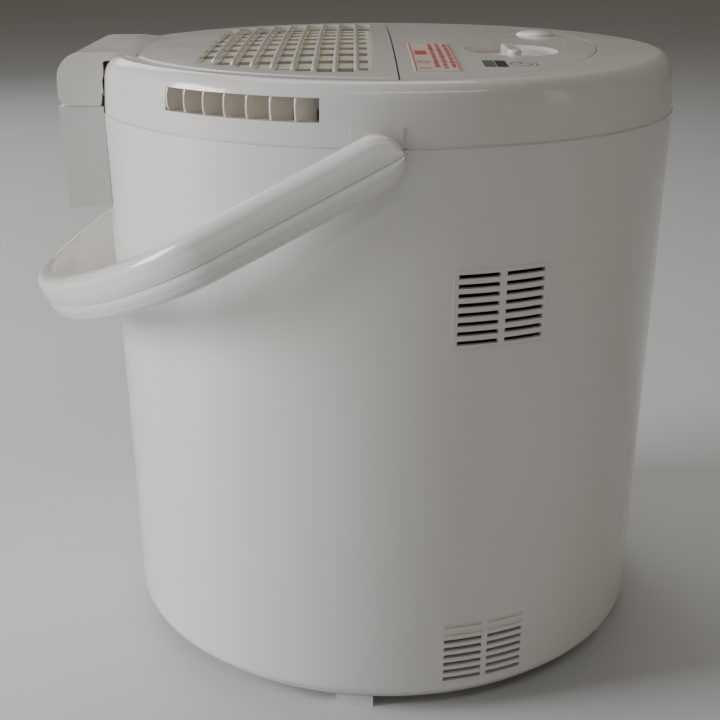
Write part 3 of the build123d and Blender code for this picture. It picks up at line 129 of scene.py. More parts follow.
# ---------------------------------------------------------------- materials
class Nodes:
    """Short hand for building a material's node tree around its shader."""

    def __init__(self, material):
        self.tree = material.node_tree
        self.shader = self.tree.nodes["Principled BSDF"]
        self.coords = self.new("ShaderNodeTexCoord").outputs["Object"]

    def new(self, kind, **settings):
        node = self.tree.nodes.new(kind)
        for name, value in settings.items():
            setattr(node, name, value)
        return node

    def link(self, out, socket):
        self.tree.links.new(out, socket)

    def socket(self, word):
        """Shader's socket from a plain word, as in coat_weight for Coat Weight."""
        name = "Specular IOR Level" if word == "specular" else word.replace("_", " ").title()
        return self.shader.inputs[name]

    def feed(self, **values):
        """Links values to the shader's sockets."""
        for word, value in values.items():
            self.link(value, self.socket(word))

    def noise(self, scale, detail=3.0, roughness=0.55, stretch=None, distortion=0.0):
        """Noise in the object's space, scale in waves per metre."""
        node = self.new("ShaderNodeTexNoise")
        node.inputs["Scale"].default_value = scale
        node.inputs["Detail"].default_value = detail
        node.inputs["Roughness"].default_value = roughness
        node.inputs["Distortion"].default_value = distortion
        coords = self.coords
        if stretch:
            mapping = self.new("ShaderNodeMapping")
            mapping.inputs["Scale"].default_value = stretch
            self.link(coords, mapping.inputs["Vector"])
            coords = mapping.outputs["Vector"]
        self.link(coords, node.inputs["Vector"])
        return node.outputs["Fac"]

    def ramp(self, value, *stops):
        """Colours or greys along a value, as (place, grey or rgb) pairs."""
        node = self.new("ShaderNodeValToRGB")
        ramp = node.color_ramp
        for element, (place, colour) in zip(ramp.elements, stops):
            element.position = place
            rgb = colour if isinstance(colour, tuple) else (colour,) * 3
            element.color = (*rgb, 1)
        self.link(value, node.inputs["Fac"])
        return node.outputs["Color"]

    def mix(self, factor, a, b, blend="MIX"):
        node = self.new("ShaderNodeMix", data_type="RGBA", blend_type=blend)
        factor_in, a_in, b_in = (node.inputs[index] for index in (0, 6, 7))
        for value, socket in ((factor, factor_in), (a, a_in), (b, b_in)):
            if isinstance(value, bpy.types.NodeSocket):
                self.link(value, socket)
            elif socket is factor_in:
                socket.default_value = value
            else:
                socket.default_value = (*value, 1)
        return node.outputs[2]

    def bump(self, *heights):
        """Chain of bumps, as (height, distance in metres, strength) triples."""
        normal = None
        for height, distance, strength in heights:
            node = self.new("ShaderNodeBump")
            node.inputs["Distance"].default_value = distance
            node.inputs["Strength"].default_value = strength
            self.link(height, node.inputs["Height"])
            if normal is not None:
                self.link(normal, node.inputs["Normal"])
            normal = node.outputs["Normal"]
        self.feed(normal=normal)


def new_material(name, **constants):
    """Material and its nodes, with constants for the shader's sockets."""
    material = bpy.data.materials.new(name)
    material.use_nodes = True
    n = Nodes(material)
    settings = {"metallic": 0.0, "coat_weight": 0.0, "coat_roughness": 0.05, "specular": 0.5} | constants
    if "subsurface_weight" in settings:
        settings |= {"subsurface_radius": (1.0, 0.8, 0.6), "subsurface_scale": 4 * MM}
    for word, value in settings.items():
        n.socket(word).default_value = value
    return material, n


def shade(colour, factor):
    return tuple(min(1.0, c * factor) for c in colour)


def gloss_plastic(name, colour, roughness=0.17, spread=0.06, coat=0.45):
    """Polished moulding: faint yellowing, dust specks, a shallow waviness and a few dull rubbed places."""
    material, n = new_material(name, coat_weight=coat, coat_roughness=0.06, subsurface_weight=0.04)
    warm = tuple(c * f for c, f in zip(colour, (0.995, 0.975, 0.935)))
    yellowing = n.ramp(n.noise(9, 4, 0.6), (0.32, colour), (0.78, warm))
    dust = n.ramp(n.noise(420, 2, 0.7), (0.70, 0.0), (0.80, 0.30))
    haze = n.ramp(n.noise(26, 5, 0.65), (0.30, roughness - spread / 2), (0.75, roughness + spread))
    rubs = n.ramp(n.noise(34, 3, 0.6, stretch=(1, 1, 7), distortion=0.6), (0.66, 0.0), (0.74, 0.07))
    n.feed(base_color=n.mix(dust, yellowing, shade(colour, 0.90)), roughness=n.mix(1.0, haze, rubs, "ADD"))
    waves, pores = n.noise(38, 2, 0.5), n.noise(1500, 2, 0.6)
    n.bump((waves, 0.12 * MM, 0.5), (pores, 0.02 * MM, 0.3))
    return material


def satin_plastic(name, colour, roughness=0.42, grain=1900, depth=0.05 * MM):
    """Fine spark-eroded texture on a moulding, with faint shade changes."""
    material, n = new_material(name, subsurface_weight=0.03)
    n.feed(base_color=n.ramp(n.noise(14, 4, 0.6), (0.30, colour), (0.80, shade(colour, 0.93))),
           roughness=n.ramp(n.noise(60, 5, 0.7), (0.30, roughness - 0.05), (0.75, roughness + 0.05)))
    texture, waves = n.noise(grain, 3, 0.65), n.noise(40, 2, 0.5)
    n.bump((texture, depth, 0.7), (waves, 0.1 * MM, 0.25))
    return material


def print_film(name, colour, roughness, depth=0.02 * MM):
    """Printed film or screen-printed ink: satin, with a grain finer than a moulding's."""
    return satin_plastic(name, colour, roughness, 2600, depth)


def rubber(name, colour):
    material, n = new_material(name, specular=0.35)
    n.feed(base_color=n.ramp(n.noise(300, 4, 0.7), (0.35, colour), (0.8, shade(colour, 1.9))),
           roughness=n.ramp(n.noise(90, 4, 0.7), (0.3, 0.70), (0.75, 0.88)))
    n.bump((n.noise(2200, 3, 0.7), 0.08 * MM, 0.7))
    return material


def steel(name, colour=(0.60, 0.60, 0.61), roughness=0.32, stretch=(1, 1, 26)):
    """Plated or drawn steel: fine streaks and faint tarnish."""
    material, n = new_material(name, metallic=1.0)
    streaks = n.noise(260, 3, 0.6, stretch=stretch)
    n.feed(base_color=n.ramp(n.noise(45, 4, 0.6), (0.35, colour), (0.75, shade(colour, 0.80))),
           roughness=n.ramp(streaks, (0.3, roughness - 0.08), (0.7, roughness + 0.10)))
    n.bump((streaks, 0.03 * MM, 0.5))
    return material


def clear_plastic(name, colour, alpha, roughness=0.18):
    """Milky translucent moulding, as on a tank."""
    material, n = new_material(name, alpha=alpha, subsurface_weight=0.15)
    n.feed(base_color=n.ramp(n.noise(18, 4, 0.6), (0.3, colour), (0.8, shade(colour, 0.94))),
           roughness=n.ramp(n.noise(70, 4, 0.6), (0.3, roughness), (0.8, roughness + 0.14)))
    n.bump((n.noise(60, 2, 0.5), 0.15 * MM, 0.4))
    return material


def net_fabric(name, colour):
    material, n = new_material(name, specular=0.3, sheen_weight=0.25)
    n.feed(base_color=n.ramp(n.noise(700, 3, 0.7), (0.3, colour), (0.8, shade(colour, 1.5))),
           roughness=n.ramp(n.noise(500, 3, 0.7), (0.3, 0.62), (0.8, 0.85)))
    n.bump((n.noise(3000, 2, 0.6), 0.06 * MM, 0.6))
    return material


def circuit_board(name, colour):
    """Solder mask over faint copper tracks."""
    material, n = new_material(name, coat_weight=0.4, coat_roughness=0.15)
    tracks = n.new("ShaderNodeTexBrick")
    tracks.inputs["Scale"].default_value = 130
    tracks.inputs["Mortar Size"].default_value = 0.06
    tracks.inputs["Color1"].default_value = (1, 1, 1, 1)
    tracks.inputs["Color2"].default_value = (0.85, 0.85, 0.85, 1)
    tracks.inputs["Mortar"].default_value = (0, 0, 0, 1)
    n.link(n.coords, tracks.inputs["Vector"])
    n.feed(base_color=n.mix(tracks.outputs["Color"], shade(colour, 1.7), colour),
           roughness=n.ramp(n.noise(200, 3, 0.6), (0.3, 0.28), (0.8, 0.45)))
    n.bump((tracks.outputs["Color"], 0.04 * MM, 0.5))
    return material


def honeycomb(name, colour):
    """Ceramic honeycomb of fine cells, their middles darkened as painted shade down the channels."""
    material, n = new_material(name, specular=0.2)
    cells = n.new("ShaderNodeTexVoronoi", feature="DISTANCE_TO_EDGE")
    cells.inputs["Scale"].default_value = 520
    cells.inputs["Randomness"].default_value = 0.35
    n.link(n.coords, cells.inputs["Vector"])
    # walls keep the ceramic's colour; the cells' middles are darkened as painted shade in the open channels
    cell_walls_and_hole_shade = n.ramp(cells.outputs["Distance"], (0.03, colour), (0.12, shade(colour, 0.22)))
    n.feed(base_color=n.mix(n.noise(40), cell_walls_and_hole_shade, shade(colour, 0.6)),
           roughness=n.ramp(n.noise(90), (0.3, 0.8), (0.8, 0.95)))
    n.bump((n.ramp(cells.outputs["Distance"], (0.02, 1.0), (0.14, 0.0)), 0.6 * MM, 0.9))
    return material


def plain_floor():
    material, n = new_material("floor_paint", specular=0.3)
    n.feed(base_color=n.ramp(n.noise(3, 4), (0.3, (0.71, 0.72, 0.72)), (0.8, (0.68, 0.69, 0.695))),
           roughness=n.ramp(n.noise(12, 4), (0.3, 0.45), (0.8, 0.6)))
    return material


WHITE = (0.79, 0.775, 0.745)
CREAM = (0.80, 0.745, 0.64)
LOOKS = {
    "shell_white": gloss_plastic("shell_white", WHITE),
    "handle_inset_white": gloss_plastic("handle_inset_white", shade(WHITE, 0.97), 0.26),
    "hinge_white": satin_plastic("hinge_white", (0.72, 0.70, 0.665)),
    "slat_cream": satin_plastic("slat_cream", CREAM, 0.5),
    "filter_grey": satin_plastic("filter_grey", (0.20, 0.205, 0.21), 0.55),
    "filter_net": net_fabric("filter_net", (0.46, 0.43, 0.37)),
    "foot_rubber": rubber("foot_rubber", (0.025, 0.025, 0.026)),
    "screw_steel": steel("screw_steel"),
    "bush_nylon": satin_plastic("bush_nylon", (0.70, 0.69, 0.62), 0.38),
    "window_dark": print_film("window_dark", (0.012, 0.015, 0.014), 0.28, 0.01 * MM),
    "led_dark": gloss_plastic("led_dark", (0.09, 0.03, 0.02), 0.12, 0.03, 0.6),
    "label_red": print_film("label_red", (0.68, 0.52, 0.475), 0.4),
    "knob_white": gloss_plastic("knob_white", (0.78, 0.765, 0.72), 0.24),
    "button_white": gloss_plastic("button_white", (0.81, 0.80, 0.78), 0.10, 0.04, 0.6),
    "board_green": circuit_board("board_green", (0.015, 0.11, 0.045)),
    "switch_black": satin_plastic("switch_black", (0.02, 0.02, 0.021), 0.5),
    "inner_white": satin_plastic("inner_white", (0.60, 0.60, 0.58), 0.5),
    "duct_grey": satin_plastic("duct_grey", (0.26, 0.265, 0.27), 0.55),
    "zeolite": honeycomb("zeolite", (0.62, 0.58, 0.50)),
    "motor_steel": steel("motor_steel", (0.50, 0.50, 0.52), 0.4, (26, 1, 1)),
    "condenser_clear": clear_plastic("condenser_clear", (0.66, 0.72, 0.75), 0.9, 0.3),
    "heater_metal": steel("heater_metal", (0.62, 0.60, 0.56), 0.35, (1, 20, 1)),
    "tank_clear": clear_plastic("tank_clear", (0.62, 0.72, 0.80), 0.5),
    "tank_white": satin_plastic("tank_white", (0.70, 0.70, 0.68), 0.45),
    "float_foam": satin_plastic("float_foam", (0.78, 0.78, 0.76), 0.8, 900, 0.2 * MM),
}
# colours of prints, which show over their record slots
PRINTS = {
    "print_red": print_film("print_red", (0.50, 0.07, 0.06), 0.45),
    "print_grey": print_film("print_grey", (0.16, 0.17, 0.17), 0.45),
    "window_green": print_film("window_green", (0.10, 0.13, 0.105), 0.30, 0.01 * MM),
}
NODE_SLOTS = {s["node"]: s["material_slot"] for s in frame["record"]["subparts"]}


def dress_cad_nodes():
    """Every CAD node gets its slot's material."""
    for name, obj in nodes.items():
        obj.data.materials.clear()
        obj.data.materials.append(LOOKS[NODE_SLOTS[name]])


# ---------------------------------------------------------------- mesh helpers
def new_piece(name, vertices, faces, slot, body, replaces=(), smooth_angle=35):
    """A finished piece from points and faces, which rides on a body."""
    mesh = bpy.data.meshes.new(name)
    mesh.from_pydata([tuple(v) for v in vertices], [], faces)
    mesh.validate()
    made = bmesh.new()
    made.from_mesh(mesh)
    bmesh.ops.remove_doubles(made, verts=made.verts, dist=1e-7)
    bmesh.ops.recalc_face_normals(made, faces=made.faces)
    made.to_mesh(mesh)
    made.free()
    piece = bpy.data.objects.new(name, mesh)
    bpy.context.scene.collection.objects.link(piece)
    mesh.shade_smooth()
    mesh.set_sharp_from_angle(angle=radians(smooth_angle))
    mesh.materials.append(LOOKS[slot])
    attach(piece, body)
    if replaces:
        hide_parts(*replaces)
    return piece


def join_parts(parts):
    """One list of points and one of faces, from several of each."""
    vertices, faces = [], []
    for part_vertices, part_faces in parts:
        start = len(vertices)
        vertices += part_vertices
        faces += [tuple(start + i for i in face) for face in part_faces]
    return vertices, faces


def loft_faces(rings, points):
    """Quads between closed rings that follow each other, with the same number of points each."""
    faces = []
    for i in range(rings - 1):
        for j in range(points):
            k = (j + 1) % points
            faces.append((i * points + j, i * points + k, (i + 1) * points + k, (i + 1) * points + j))
    return faces


def end_caps(rings, points):
    return [tuple(range(points)), tuple(reversed(range((rings - 1) * points, rings * points)))]


def lathe(name, profile, at, slot, body, replaces=(), segments=96):
    """Turned piece on an upright axis: profile is (radius, height) points, from bottom to top."""
    vertices, rings = [], []
    for radius, height in profile:
        if radius == 0:
            rings.append([len(vertices)])
            vertices.append(Vector(at) + Vector((0, 0, height)))
            continue
        rings.append(list(range(len(vertices), len(vertices) + segments)))
        for k in range(segments):
            angle = 2 * pi * k / segments
            vertices.append(Vector(at) + Vector((radius * cos(angle), radius * sin(angle), height)))
    faces = []
    for low, high in zip(rings, rings[1:]):
        for k in range(segments):
            m = (k + 1) % segments
            if len(low) == 1:
                faces.append((low[0], high[k], high[m]))
            elif len(high) == 1:
                faces.append((low[k], high[0], low[m]))
            else:
                faces.append((low[k], low[m], high[m], high[k]))
    return new_piece(name, vertices, faces, slot, body, replaces)


def arc(cx, cy, radius, a0, a1, steps):
    """Points on an arc, angles in degrees."""
    return [(cx + radius * cos(radians(a0 + (a1 - a0) * t / steps)),
             cy + radius * sin(radians(a0 + (a1 - a0) * t / steps))) for t in range(steps + 1)]


def bead(points, across, up, radius, lift, steps=6):
    """Half-round bead along points, which rises by lift and tapers to closed ends."""
    vertices = []
    last = len(points) - 1
    for k, (point, side, normal) in enumerate(zip(points, across, up)):
        rise = lift * min(1.0, min(k, last - k) / 2 + 0.15)
        for i in range(steps + 1):
            angle = pi * i / steps
            vertices.append(point + side * (radius * cos(angle)) + normal * (rise * sin(angle)))
    return vertices, loft_faces(len(points), steps + 1) + end_caps(len(points), steps + 1)


# ---------------------------------------------------------------- bail handle
SAG = radians(28.4)                      # how far the resting bail hangs below level
STRAP = 26.6 * MM                        # height of the strap
ARM_OUT, ARM_IN = BAIL_HI.y, BAIL_HI.y - 9.0 * MM
BAR_OUT = (PIVOT.x - BAIL_LO.x - STRAP / 2 * sin(SAG)) / cos(SAG)   # reach from the pivot
BAR_IN = BAR_OUT - 11.0 * MM
STRAIGHT = 90.0 * MM                     # length of the straight arms
PULL = 0.40                              # how far along its corner's sides the bow's curve is pulled
BULGE = 0.5 * MM                         # how far the outer face bows out
PARTING = -1.9 * MM                      # height of the line between the two halves
GROOVE = 0.4 * MM                        # step between the two halves, on the outside
LOWER_LIFT = 0.3 * MM                    # the lower half ends this far above the strap's bottom
TIP_H = 0.2 * MM                         # least height of a section, at the round ends' tips
END_STEPS, ARM_STEPS, BOW_STEPS = 16, 10, 60


def bow_point(half_w, reach, t):
    """Point of one edge of the bow's plan: t runs from 0, at the arm, to 1 at the bow's middle."""
    bow = reach - STRAIGHT
    p = [Vector((STRAIGHT, half_w)), Vector((STRAIGHT + PULL * bow, half_w)),
         Vector((reach, PULL * half_w)), Vector((reach, 0))]
    return (1 - t)**3 * p[0] + 3 * (1 - t)**2 * t * p[1] + 3 * (1 - t) * t**2 * p[2] + t**3 * p[3]


def bail_plan(inset):
    """The bail's plan from end to end, as (outer point, inner point, half-height) stations."""
    end_r, out, reach = STRAP / 2 - inset, ARM_OUT - inset, BAR_OUT - inset
    half = []
    for k in range(END_STEPS + 1):
        along = -end_r * cos(pi / 2 * k / END_STEPS)
        half.append((Vector((along, out)), Vector((along, ARM_IN)), sqrt(max(0, end_r**2 - along**2))))
    for k in range(1, ARM_STEPS):
        along = STRAIGHT * k / ARM_STEPS
        half.append((Vector((along, out)), Vector((along, ARM_IN)), end_r))
    for k in range(BOW_STEPS + 1):
        t = k / BOW_STEPS
        half.append((bow_point(out, reach, t), bow_point(ARM_IN, BAR_IN, t), end_r))
    return half + [(Vector((o.x, -o.y)), Vector((i.x, -i.y)), h) for o, i, h in reversed(half[:-1])]


def strap_section(low, high, thick, radii):
    """Section of a strap as (across, height) points, its outer face at +thick / 2.

    The radii are those of the outer top, outer bottom, inner bottom and inner top corners.
    """
    half, tall = thick / 2, high - low
    top, bottom, inner_low, inner_high = (min(r, tall * 0.45) for r in radii)
    points = arc(half - top, high - top, top, 90, 0, 10)
    flat = bottom + top - tall           # from the top corner down to the bottom one
    points += [(half + BULGE * sin(pi * s / 6), high - top + flat * s / 6) for s in range(1, 6)]
    points += arc(half - bottom, low + bottom, bottom, 0, -90, 8)
    points += arc(-half + inner_low, low + inner_low, inner_low, 270, 180, 4)
    points += arc(-half + inner_high, high - inner_high, inner_high, 180, 90, 4)
    return points


def bail_strap(name, low, high, inset, radii, slot, node):
    """Half of the bail: a rounded strap along both arms and the bow, with round ends about the pivots."""
    stations = bail_plan(inset)
    vertices = []
    for outer, inner, half_h in stations:
        bottom = max(low, -half_h)
        top = max(min(high, half_h), bottom + TIP_H)
        middle, across = (outer + inner) / 2, (outer - inner).normalized()
        section = strap_section(bottom, top, (outer - inner).length, radii)
        for a, h in section:
            u, w = middle + across * a
            x, z = PIVOT.x - u * cos(SAG) - h * sin(SAG), PIVOT.z - u * sin(SAG) + h * cos(SAG)
            vertices.append(Vector((x, w, z)))
    count = len(section)
    faces = loft_faces(len(stations), count) + end_caps(len(stations), count)
    return new_piece(name, vertices, faces, slot, "handle", [node], 40)


def add_handle():
    edge, seam = 1.6 * MM, 0.12 * MM
    upper_radii = (6.2 * MM, 0.4 * MM, seam, edge)
    lower_radii = (0.3 * MM, 5.2 * MM, edge, seam)
    bail_strap("handle_upper_shell", PARTING, STRAP / 2, 0.0, upper_radii, "shell_white", "handle_upper")
    bail_strap("handle_lower_shell", LOWER_LIFT - STRAP / 2, PARTING, GROOVE, lower_radii,
               "handle_inset_white", "handle_lower")


# ---------------------------------------------------------------- grille
COLUMNS, COLUMN_PITCH, COLUMN_W = 9, 10.2 * MM, 7.6 * MM
COLUMN_X = -12.1 * MM                    # middle of the foremost opening
GRILLE_R, GRILLE_HALF = 132.0 * MM, 128.5 * MM
TAPER_X, TAPER = -35.0 * MM, 10.0        # in front of TAPER_X the openings shorten with the square
RIB_R, RIB_LIFT, RIB_SUNK = 1.25 * MM, 1.1 * MM, 0.25 * MM
RIB_POINTS = 41


def column_half(x):
    """Half-length of the grille opening whose middle is at x."""
    on_circle = sqrt(GRILLE_R**2 - (abs(x) + COLUMN_W / 2)**2)
    return min(on_circle, GRILLE_HALF - TAPER * max(0.0, x - TAPER_X)**2)


def add_rib_caps():
    """Rounded tops of the lid's ribs, a little proud of its dome."""
    parts = []
    across, up = [Vector((1, 0, 0))] * RIB_POINTS, [Vector((0, 0, 1))] * RIB_POINTS
    for i in range(COLUMNS - 1):
        x = COLUMN_X - (i + 0.5) * COLUMN_PITCH
        half = min(column_half(x - COLUMN_PITCH / 2), column_half(x + COLUMN_PITCH / 2)) + 0.5 * MM
        ys = [half * (2 * k / (RIB_POINTS - 1) - 1) for k in range(RIB_POINTS)]
        points = [Vector((x, y, dome_z(x, y) - RIB_SUNK)) for y in ys]
        parts.append(bead(points, across, up, RIB_R, RIB_LIFT))
    new_piece("lid_rib_caps", *join_parts(parts), "shell_white", "lid", smooth_angle=60)


# ---------------------------------------------------------------- side intake, seam and vent
VANES, VANE_STEP, VANE_MID, VANE_LEAD = 7, 4.46, -118.0, 0.35        # angles in degrees
VANE_R, VANE_Z0, VANE_Z1, VANE_BOW = 157.7 * MM, 319.8 * MM, 330.2 * MM, 0.5 * MM
VANE_POINTS = 13


def add_vane_lips():
    """Bright rounded front edges of the side intake's vanes, bowed outwards."""
    parts = []
    for side in (1, -1):
        for i in range(VANES):
            angle = radians(side * (VANE_MID - VANES * VANE_STEP / 2 + VANE_LEAD + i * VANE_STEP))
            out, along = Vector((cos(angle), sin(angle), 0)), Vector((-sin(angle), cos(angle), 0))
            points = []
            for k in range(VANE_POINTS):
                t = k / (VANE_POINTS - 1)
                z = VANE_Z0 + (VANE_Z1 - VANE_Z0) * t
                points.append(out * (VANE_R + VANE_BOW * sin(pi * t)) + Vector((0, 0, z)))
            parts.append(bead(points, [along] * VANE_POINTS, [out] * VANE_POINTS, 0.75 * MM, 0.7 * MM))
    new_piece("vane_lips", *join_parts(parts), "shell_white", "root", smooth_angle=60)


EAR_HALF_ANGLE = 5.0                     # degrees of the seam on each side of a handle pivot
HINGE_FROM, HINGE_TO = 161, 199          # degrees of the seam that the hinge covers
SEAM_R, SEAM_LIFT, SEAM_SUNK = 0.36 * MM, 0.5 * MM, 0.45 * MM        # the bead starts sunk in the groove


def add_seam_bead():
    """Fine bright bead along the seam, broken at the ears and behind the hinge."""
    pivot = 90 - degrees(atan2(PIVOT.x, BODY_TOP_R))
    front, rear = pivot - EAR_HALF_ANGLE, pivot + EAR_HALF_ANGLE
    parts = []
    for start, end in ((-front, front), (rear, HINGE_FROM), (HINGE_TO, 360 - rear)):
        steps = round(end - start)
        angles = [radians(start + (end - start) * k / steps) for k in range(steps + 1)]
        outs = [Vector((cos(a), sin(a), 0)) for a in angles]
        points = [out * (BODY_TOP_R - SEAM_SUNK) + Vector((0, 0, BODY_TOP_Z)) for out in outs]
        parts.append(bead(points, [Vector((0, 0, 1))] * len(points), outs, SEAM_R, SEAM_LIFT))
    new_piece("seam_bead", *join_parts(parts), "shell_white", "root", smooth_angle=60)


VENT_MID, VENT_Z = radians(-70.26), 229.9 * MM
VENT_HALF_W, VENT_HALF_H = 23.0 * MM, 18.0 * MM
LINE_GAP, LINE_W, LINE_SLOPE = 1.8 * MM, 0.62 * MM, 0.12 * MM       # the raised line round the vent
LINE_LOW, LINE_HIGH = -0.2 * MM, 0.14 * MM
LINE_CORNER = 1.6 * MM


def wall_point(along, z, above):
    """Point on the body's tapered wall: along is measured on the wall from the vent's middle."""
    radius = BODY_FOOT_R + (BODY_TOP_R - BODY_FOOT_R) * (z - BODY_FOOT_Z) / (BODY_TOP_Z - BODY_FOOT_Z)
    angle = VENT_MID + along / radius
    return Vector(((radius + above) * cos(angle), (radius + above) * sin(angle), z))


def vent_outline(grow, above):
    """Rounded rectangle round the vent, grown by a width and laid on the wall."""
    corner = LINE_CORNER + grow
    w, h = VENT_HALF_W + LINE_GAP + grow, VENT_HALF_H + LINE_GAP + grow
    points = []
    for sx, sz, a0 in ((1, 1, 0), (-1, 1, 90), (-1, -1, 180), (1, -1, 270)):
        points += arc(sx * (w - corner), sz * (h - corner), corner, a0, a0 + 90, 6)
    # long edges are divided, so that the line follows the round wall
    full = []
    for (x0, z0), (x1, z1) in zip(points, points[1:] + points[:1]):
        parts = max(1, round(abs(x1 - x0) / (2 * MM)))
        full += [(x0 + (x1 - x0) * k / parts, z0 + (z1 - z0) * k / parts) for k in range(parts)]
    return [wall_point(x, VENT_Z + z, above) for x, z in full]


def add_vent_surround():
    """Fine raised line round the middle vent."""
    rings = [vent_outline(0.0, LINE_LOW), vent_outline(LINE_SLOPE, LINE_HIGH),
             vent_outline(LINE_W - LINE_SLOPE, LINE_HIGH), vent_outline(LINE_W, LINE_LOW)]
    count = len(rings[0])
    vertices = [point for ring in rings for point in ring]
    faces = loft_faces(4, count)
    faces += [(3 * count + k, 3 * count + (k + 1) % count, (k + 1) % count, k) for k in range(count)]
    new_piece("vent_surround", vertices, faces, "shell_white", "root", smooth_angle=30)


# ---------------------------------------------------------------- filter net
NET_PITCH, THREAD_R = 2.4 * MM, 0.22 * MM
WEAVE = 0.18 * MM                        # the two sets of threads lie this far below and above the middle


def thread(a, b, z):
    """Square thread from a to b, its middle at height z."""
    along = (b - a).normalized()
    side = Vector((-along.y, along.x, 0))
    vertices = [p + side * (s * THREAD_R) + Vector((0, 0, z + t * THREAD_R))
                for p in (a, b) for s, t in ((-1, -1), (1, -1), (1, 1), (-1, 1))]
    return vertices, [(0, 3, 2, 1), (4, 5, 6, 7), (0, 1, 5, 4), (1, 2, 6, 5), (2, 3, 7, 6), (3, 0, 4, 7)]


def add_filter_net():
    """Woven net of the intake filter, thread by thread, in place of its plain sheet."""
    lo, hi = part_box("filter_mesh")
    radius, front, level = -lo.x, hi.x, (lo.z + hi.z) / 2
    parts = []
    y = -radius + NET_PITCH
    while y < radius:
        parts.append(thread(Vector((-sqrt(radius**2 - y * y), y, 0)), Vector((front, y, 0)), level - WEAVE))
        y += NET_PITCH
    x = lo.x + NET_PITCH
    while x < front:
        half = sqrt(radius**2 - x * x)
        parts.append(thread(Vector((x, -half, 0)), Vector((x, half, 0)), level + WEAVE))
        x += NET_PITCH
    new_piece("filter_net", *join_parts(parts), "filter_net", "lid", ["filter_mesh"], 30)


# ---------------------------------------------------------------- prints
INK_T = 0.08 * MM
LABEL_INK = 0.42 * MM                    # the label's print lies this far above the dome
PANEL_INK = 0.08 * MM                    # and the panel's this far
PANE_ABOVE = 0.16 * MM


def dome_patch(x0, x1, y0, y1, above, steps=4):
    """Thin printed block that follows the dome."""
    vertices = []
    for level in (above, above - INK_T):
        for i in range(steps + 1):
            y = y0 + (y1 - y0) * i / steps
            vertices += [Vector((x, y, dome_z(x, y, level))) for x in (x0, x1)]
    low = 2 * (steps + 1)
    faces = []
    for i in range(steps):
        a = 2 * i
        faces += [(a, a + 1, a + 3, a + 2), (low + a, low + a + 2, low + a + 3, low + a + 1),
                  (a, a + 2, low + a + 2, low + a), (a + 1, low + a + 1, low + a + 3, a + 3)]
    return vertices, faces + [(0, low, low + 1, 1), (low - 2, low - 1, 2 * low - 1, 2 * low - 2)]


def dome_ring(cx, cy, radius, width, above, segments=48):
    """Thin printed ring that follows the dome."""
    vertices = []
    for level in (above, above - INK_T):
        for r in (radius - width / 2, radius + width / 2):
            for k in range(segments):
                x, y = cx + r * cos(2 * pi * k / segments), cy + r * sin(2 * pi * k / segments)
                vertices.append(Vector((x, y, dome_z(x, y, level))))
    n, faces = segments, []
    for k in range(n):
        m = (k + 1) % n
        faces += [(k, m, n + m, n + k), (2 * n + k, 3 * n + k, 3 * n + m, 2 * n + m),
                  (k, 2 * n + k, 2 * n + m, m), (n + k, n + m, 3 * n + m, 3 * n + k)]
    return vertices, faces


def add_print(name, parts, slot, look):
    """Joined prints, which show their own colour over a record slot."""
    piece = new_piece(name, *join_parts(parts), slot, "root")
    piece.data.materials.clear()
    piece.data.materials.append(PRINTS[look])


def add_label_print():
    """Generic print on the label, with no words: columns of strokes, a dark block and a ring."""
    lo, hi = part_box("function_label")
    margin, line = 0.6 * MM, 0.5 * MM
    lines = [dome_patch(x, x + line, lo.y + 1 * MM, hi.y - 1 * MM, LABEL_INK, steps=20)
             for x in (lo.x + margin, hi.x - margin - line)]
    column = lo.x + 5.3 * MM             # middle of the column with the block and the ring
    block = dome_patch(column - 3.1 * MM, column + 3.1 * MM, hi.y - 48 * MM, hi.y - 34 * MM, LABEL_INK)
    ring = dome_ring(column, hi.y - 74 * MM, 2.8 * MM, 0.8 * MM, LABEL_INK)
    bar = dome_patch(column - 2.9 * MM, column + 2.9 * MM, lo.y + 7 * MM, lo.y + 8.4 * MM, LABEL_INK)
    parts = [*lines, block, ring, bar]
    strokes = random.Random(7)
    for x in (lo.x + 11.4 * MM, lo.x + 15.4 * MM, lo.x + 19.4 * MM):
        y = hi.y - 5 * MM
        while y > lo.y + 10 * MM:
            length = strokes.uniform(2.2, 6.5) * MM
            half = strokes.uniform(0.8, 1.25) * MM
            parts.append(dome_patch(x - half, x + half, y - length, y, LABEL_INK, steps=2))
            y -= length + strokes.uniform(1.2, 3.0) * MM
    add_print("label_print", parts, "label_red", "print_red")


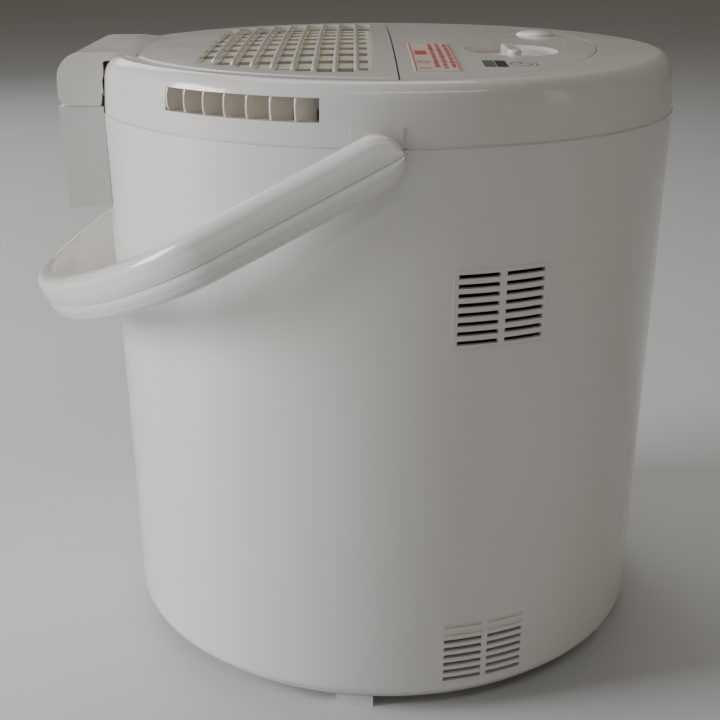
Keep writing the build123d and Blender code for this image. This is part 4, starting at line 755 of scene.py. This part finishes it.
def add_panel_print():
    """Ring and bar beside the windows, and the left window's grey-green pane."""
    lo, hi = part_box("display_windows")
    middle = (lo.y + hi.y) / 2
    ring_x = hi.x + 7.0 * MM
    add_print("panel_print", [
        dome_ring(ring_x, middle, 5.4 * MM, 1.0 * MM, 0.07 * MM),
        dome_patch(ring_x - 0.5 * MM, ring_x + 0.5 * MM, middle, middle + 6.4 * MM, PANEL_INK),
        dome_patch(ring_x + 7.4 * MM, ring_x + 8.2 * MM, middle - 5 * MM, middle + 5 * MM, PANEL_INK),
    ], "window_dark", "print_grey")
    left, right = lo.x + 0.3 * MM, (lo.x + hi.x) / 2 - 0.6 * MM
    pane = dome_patch(left, right, lo.y + 0.5 * MM, hi.y - 0.5 * MM, PANE_ABOVE, steps=8)
    add_print("window_pane", [pane], "window_dark", "window_green")


# ---------------------------------------------------------------- power button
STEM_R, BUTTON_SKIRT = 2.0 * MM, 6.4 * MM        # stem, and the depth of the button's skirt
BUTTON_INSET, SHOULDER = 0.15 * MM, 2.6 * MM
BUTTON_PROUD = 0.8 * MM                  # the dome rises this far above the CAD's flat top
DOME_STEPS = 12


def add_button():
    """Domed power button, which stands proud of its collar."""
    lo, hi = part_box("power_button")
    radius, foot = (hi.x - lo.x) / 2, lo.z - hi.z
    profile = [(0, foot), (STEM_R, foot), (STEM_R, -BUTTON_SKIRT), (radius - BUTTON_INSET, -BUTTON_SKIRT)]
    for k in range(DOME_STEPS):
        a = pi / 2 * k / DOME_STEPS
        profile.append((radius * cos(a) - BUTTON_INSET, (SHOULDER + BUTTON_PROUD) * sin(a) - SHOULDER))
    profile.append((0, BUTTON_PROUD))
    lathe("button_dome", profile, ((lo.x + hi.x) / 2, (lo.y + hi.y) / 2, hi.z), "button_white", "button",
          ["power_button"])


# ---------------------------------------------------------------- build
add_camera()
add_studio()
add_floor()
dress_cad_nodes()
add_handle()
add_rib_caps()
add_vane_lips()
add_seam_bead()
add_vent_surround()
add_filter_net()
add_label_print()
add_panel_print()
add_button()
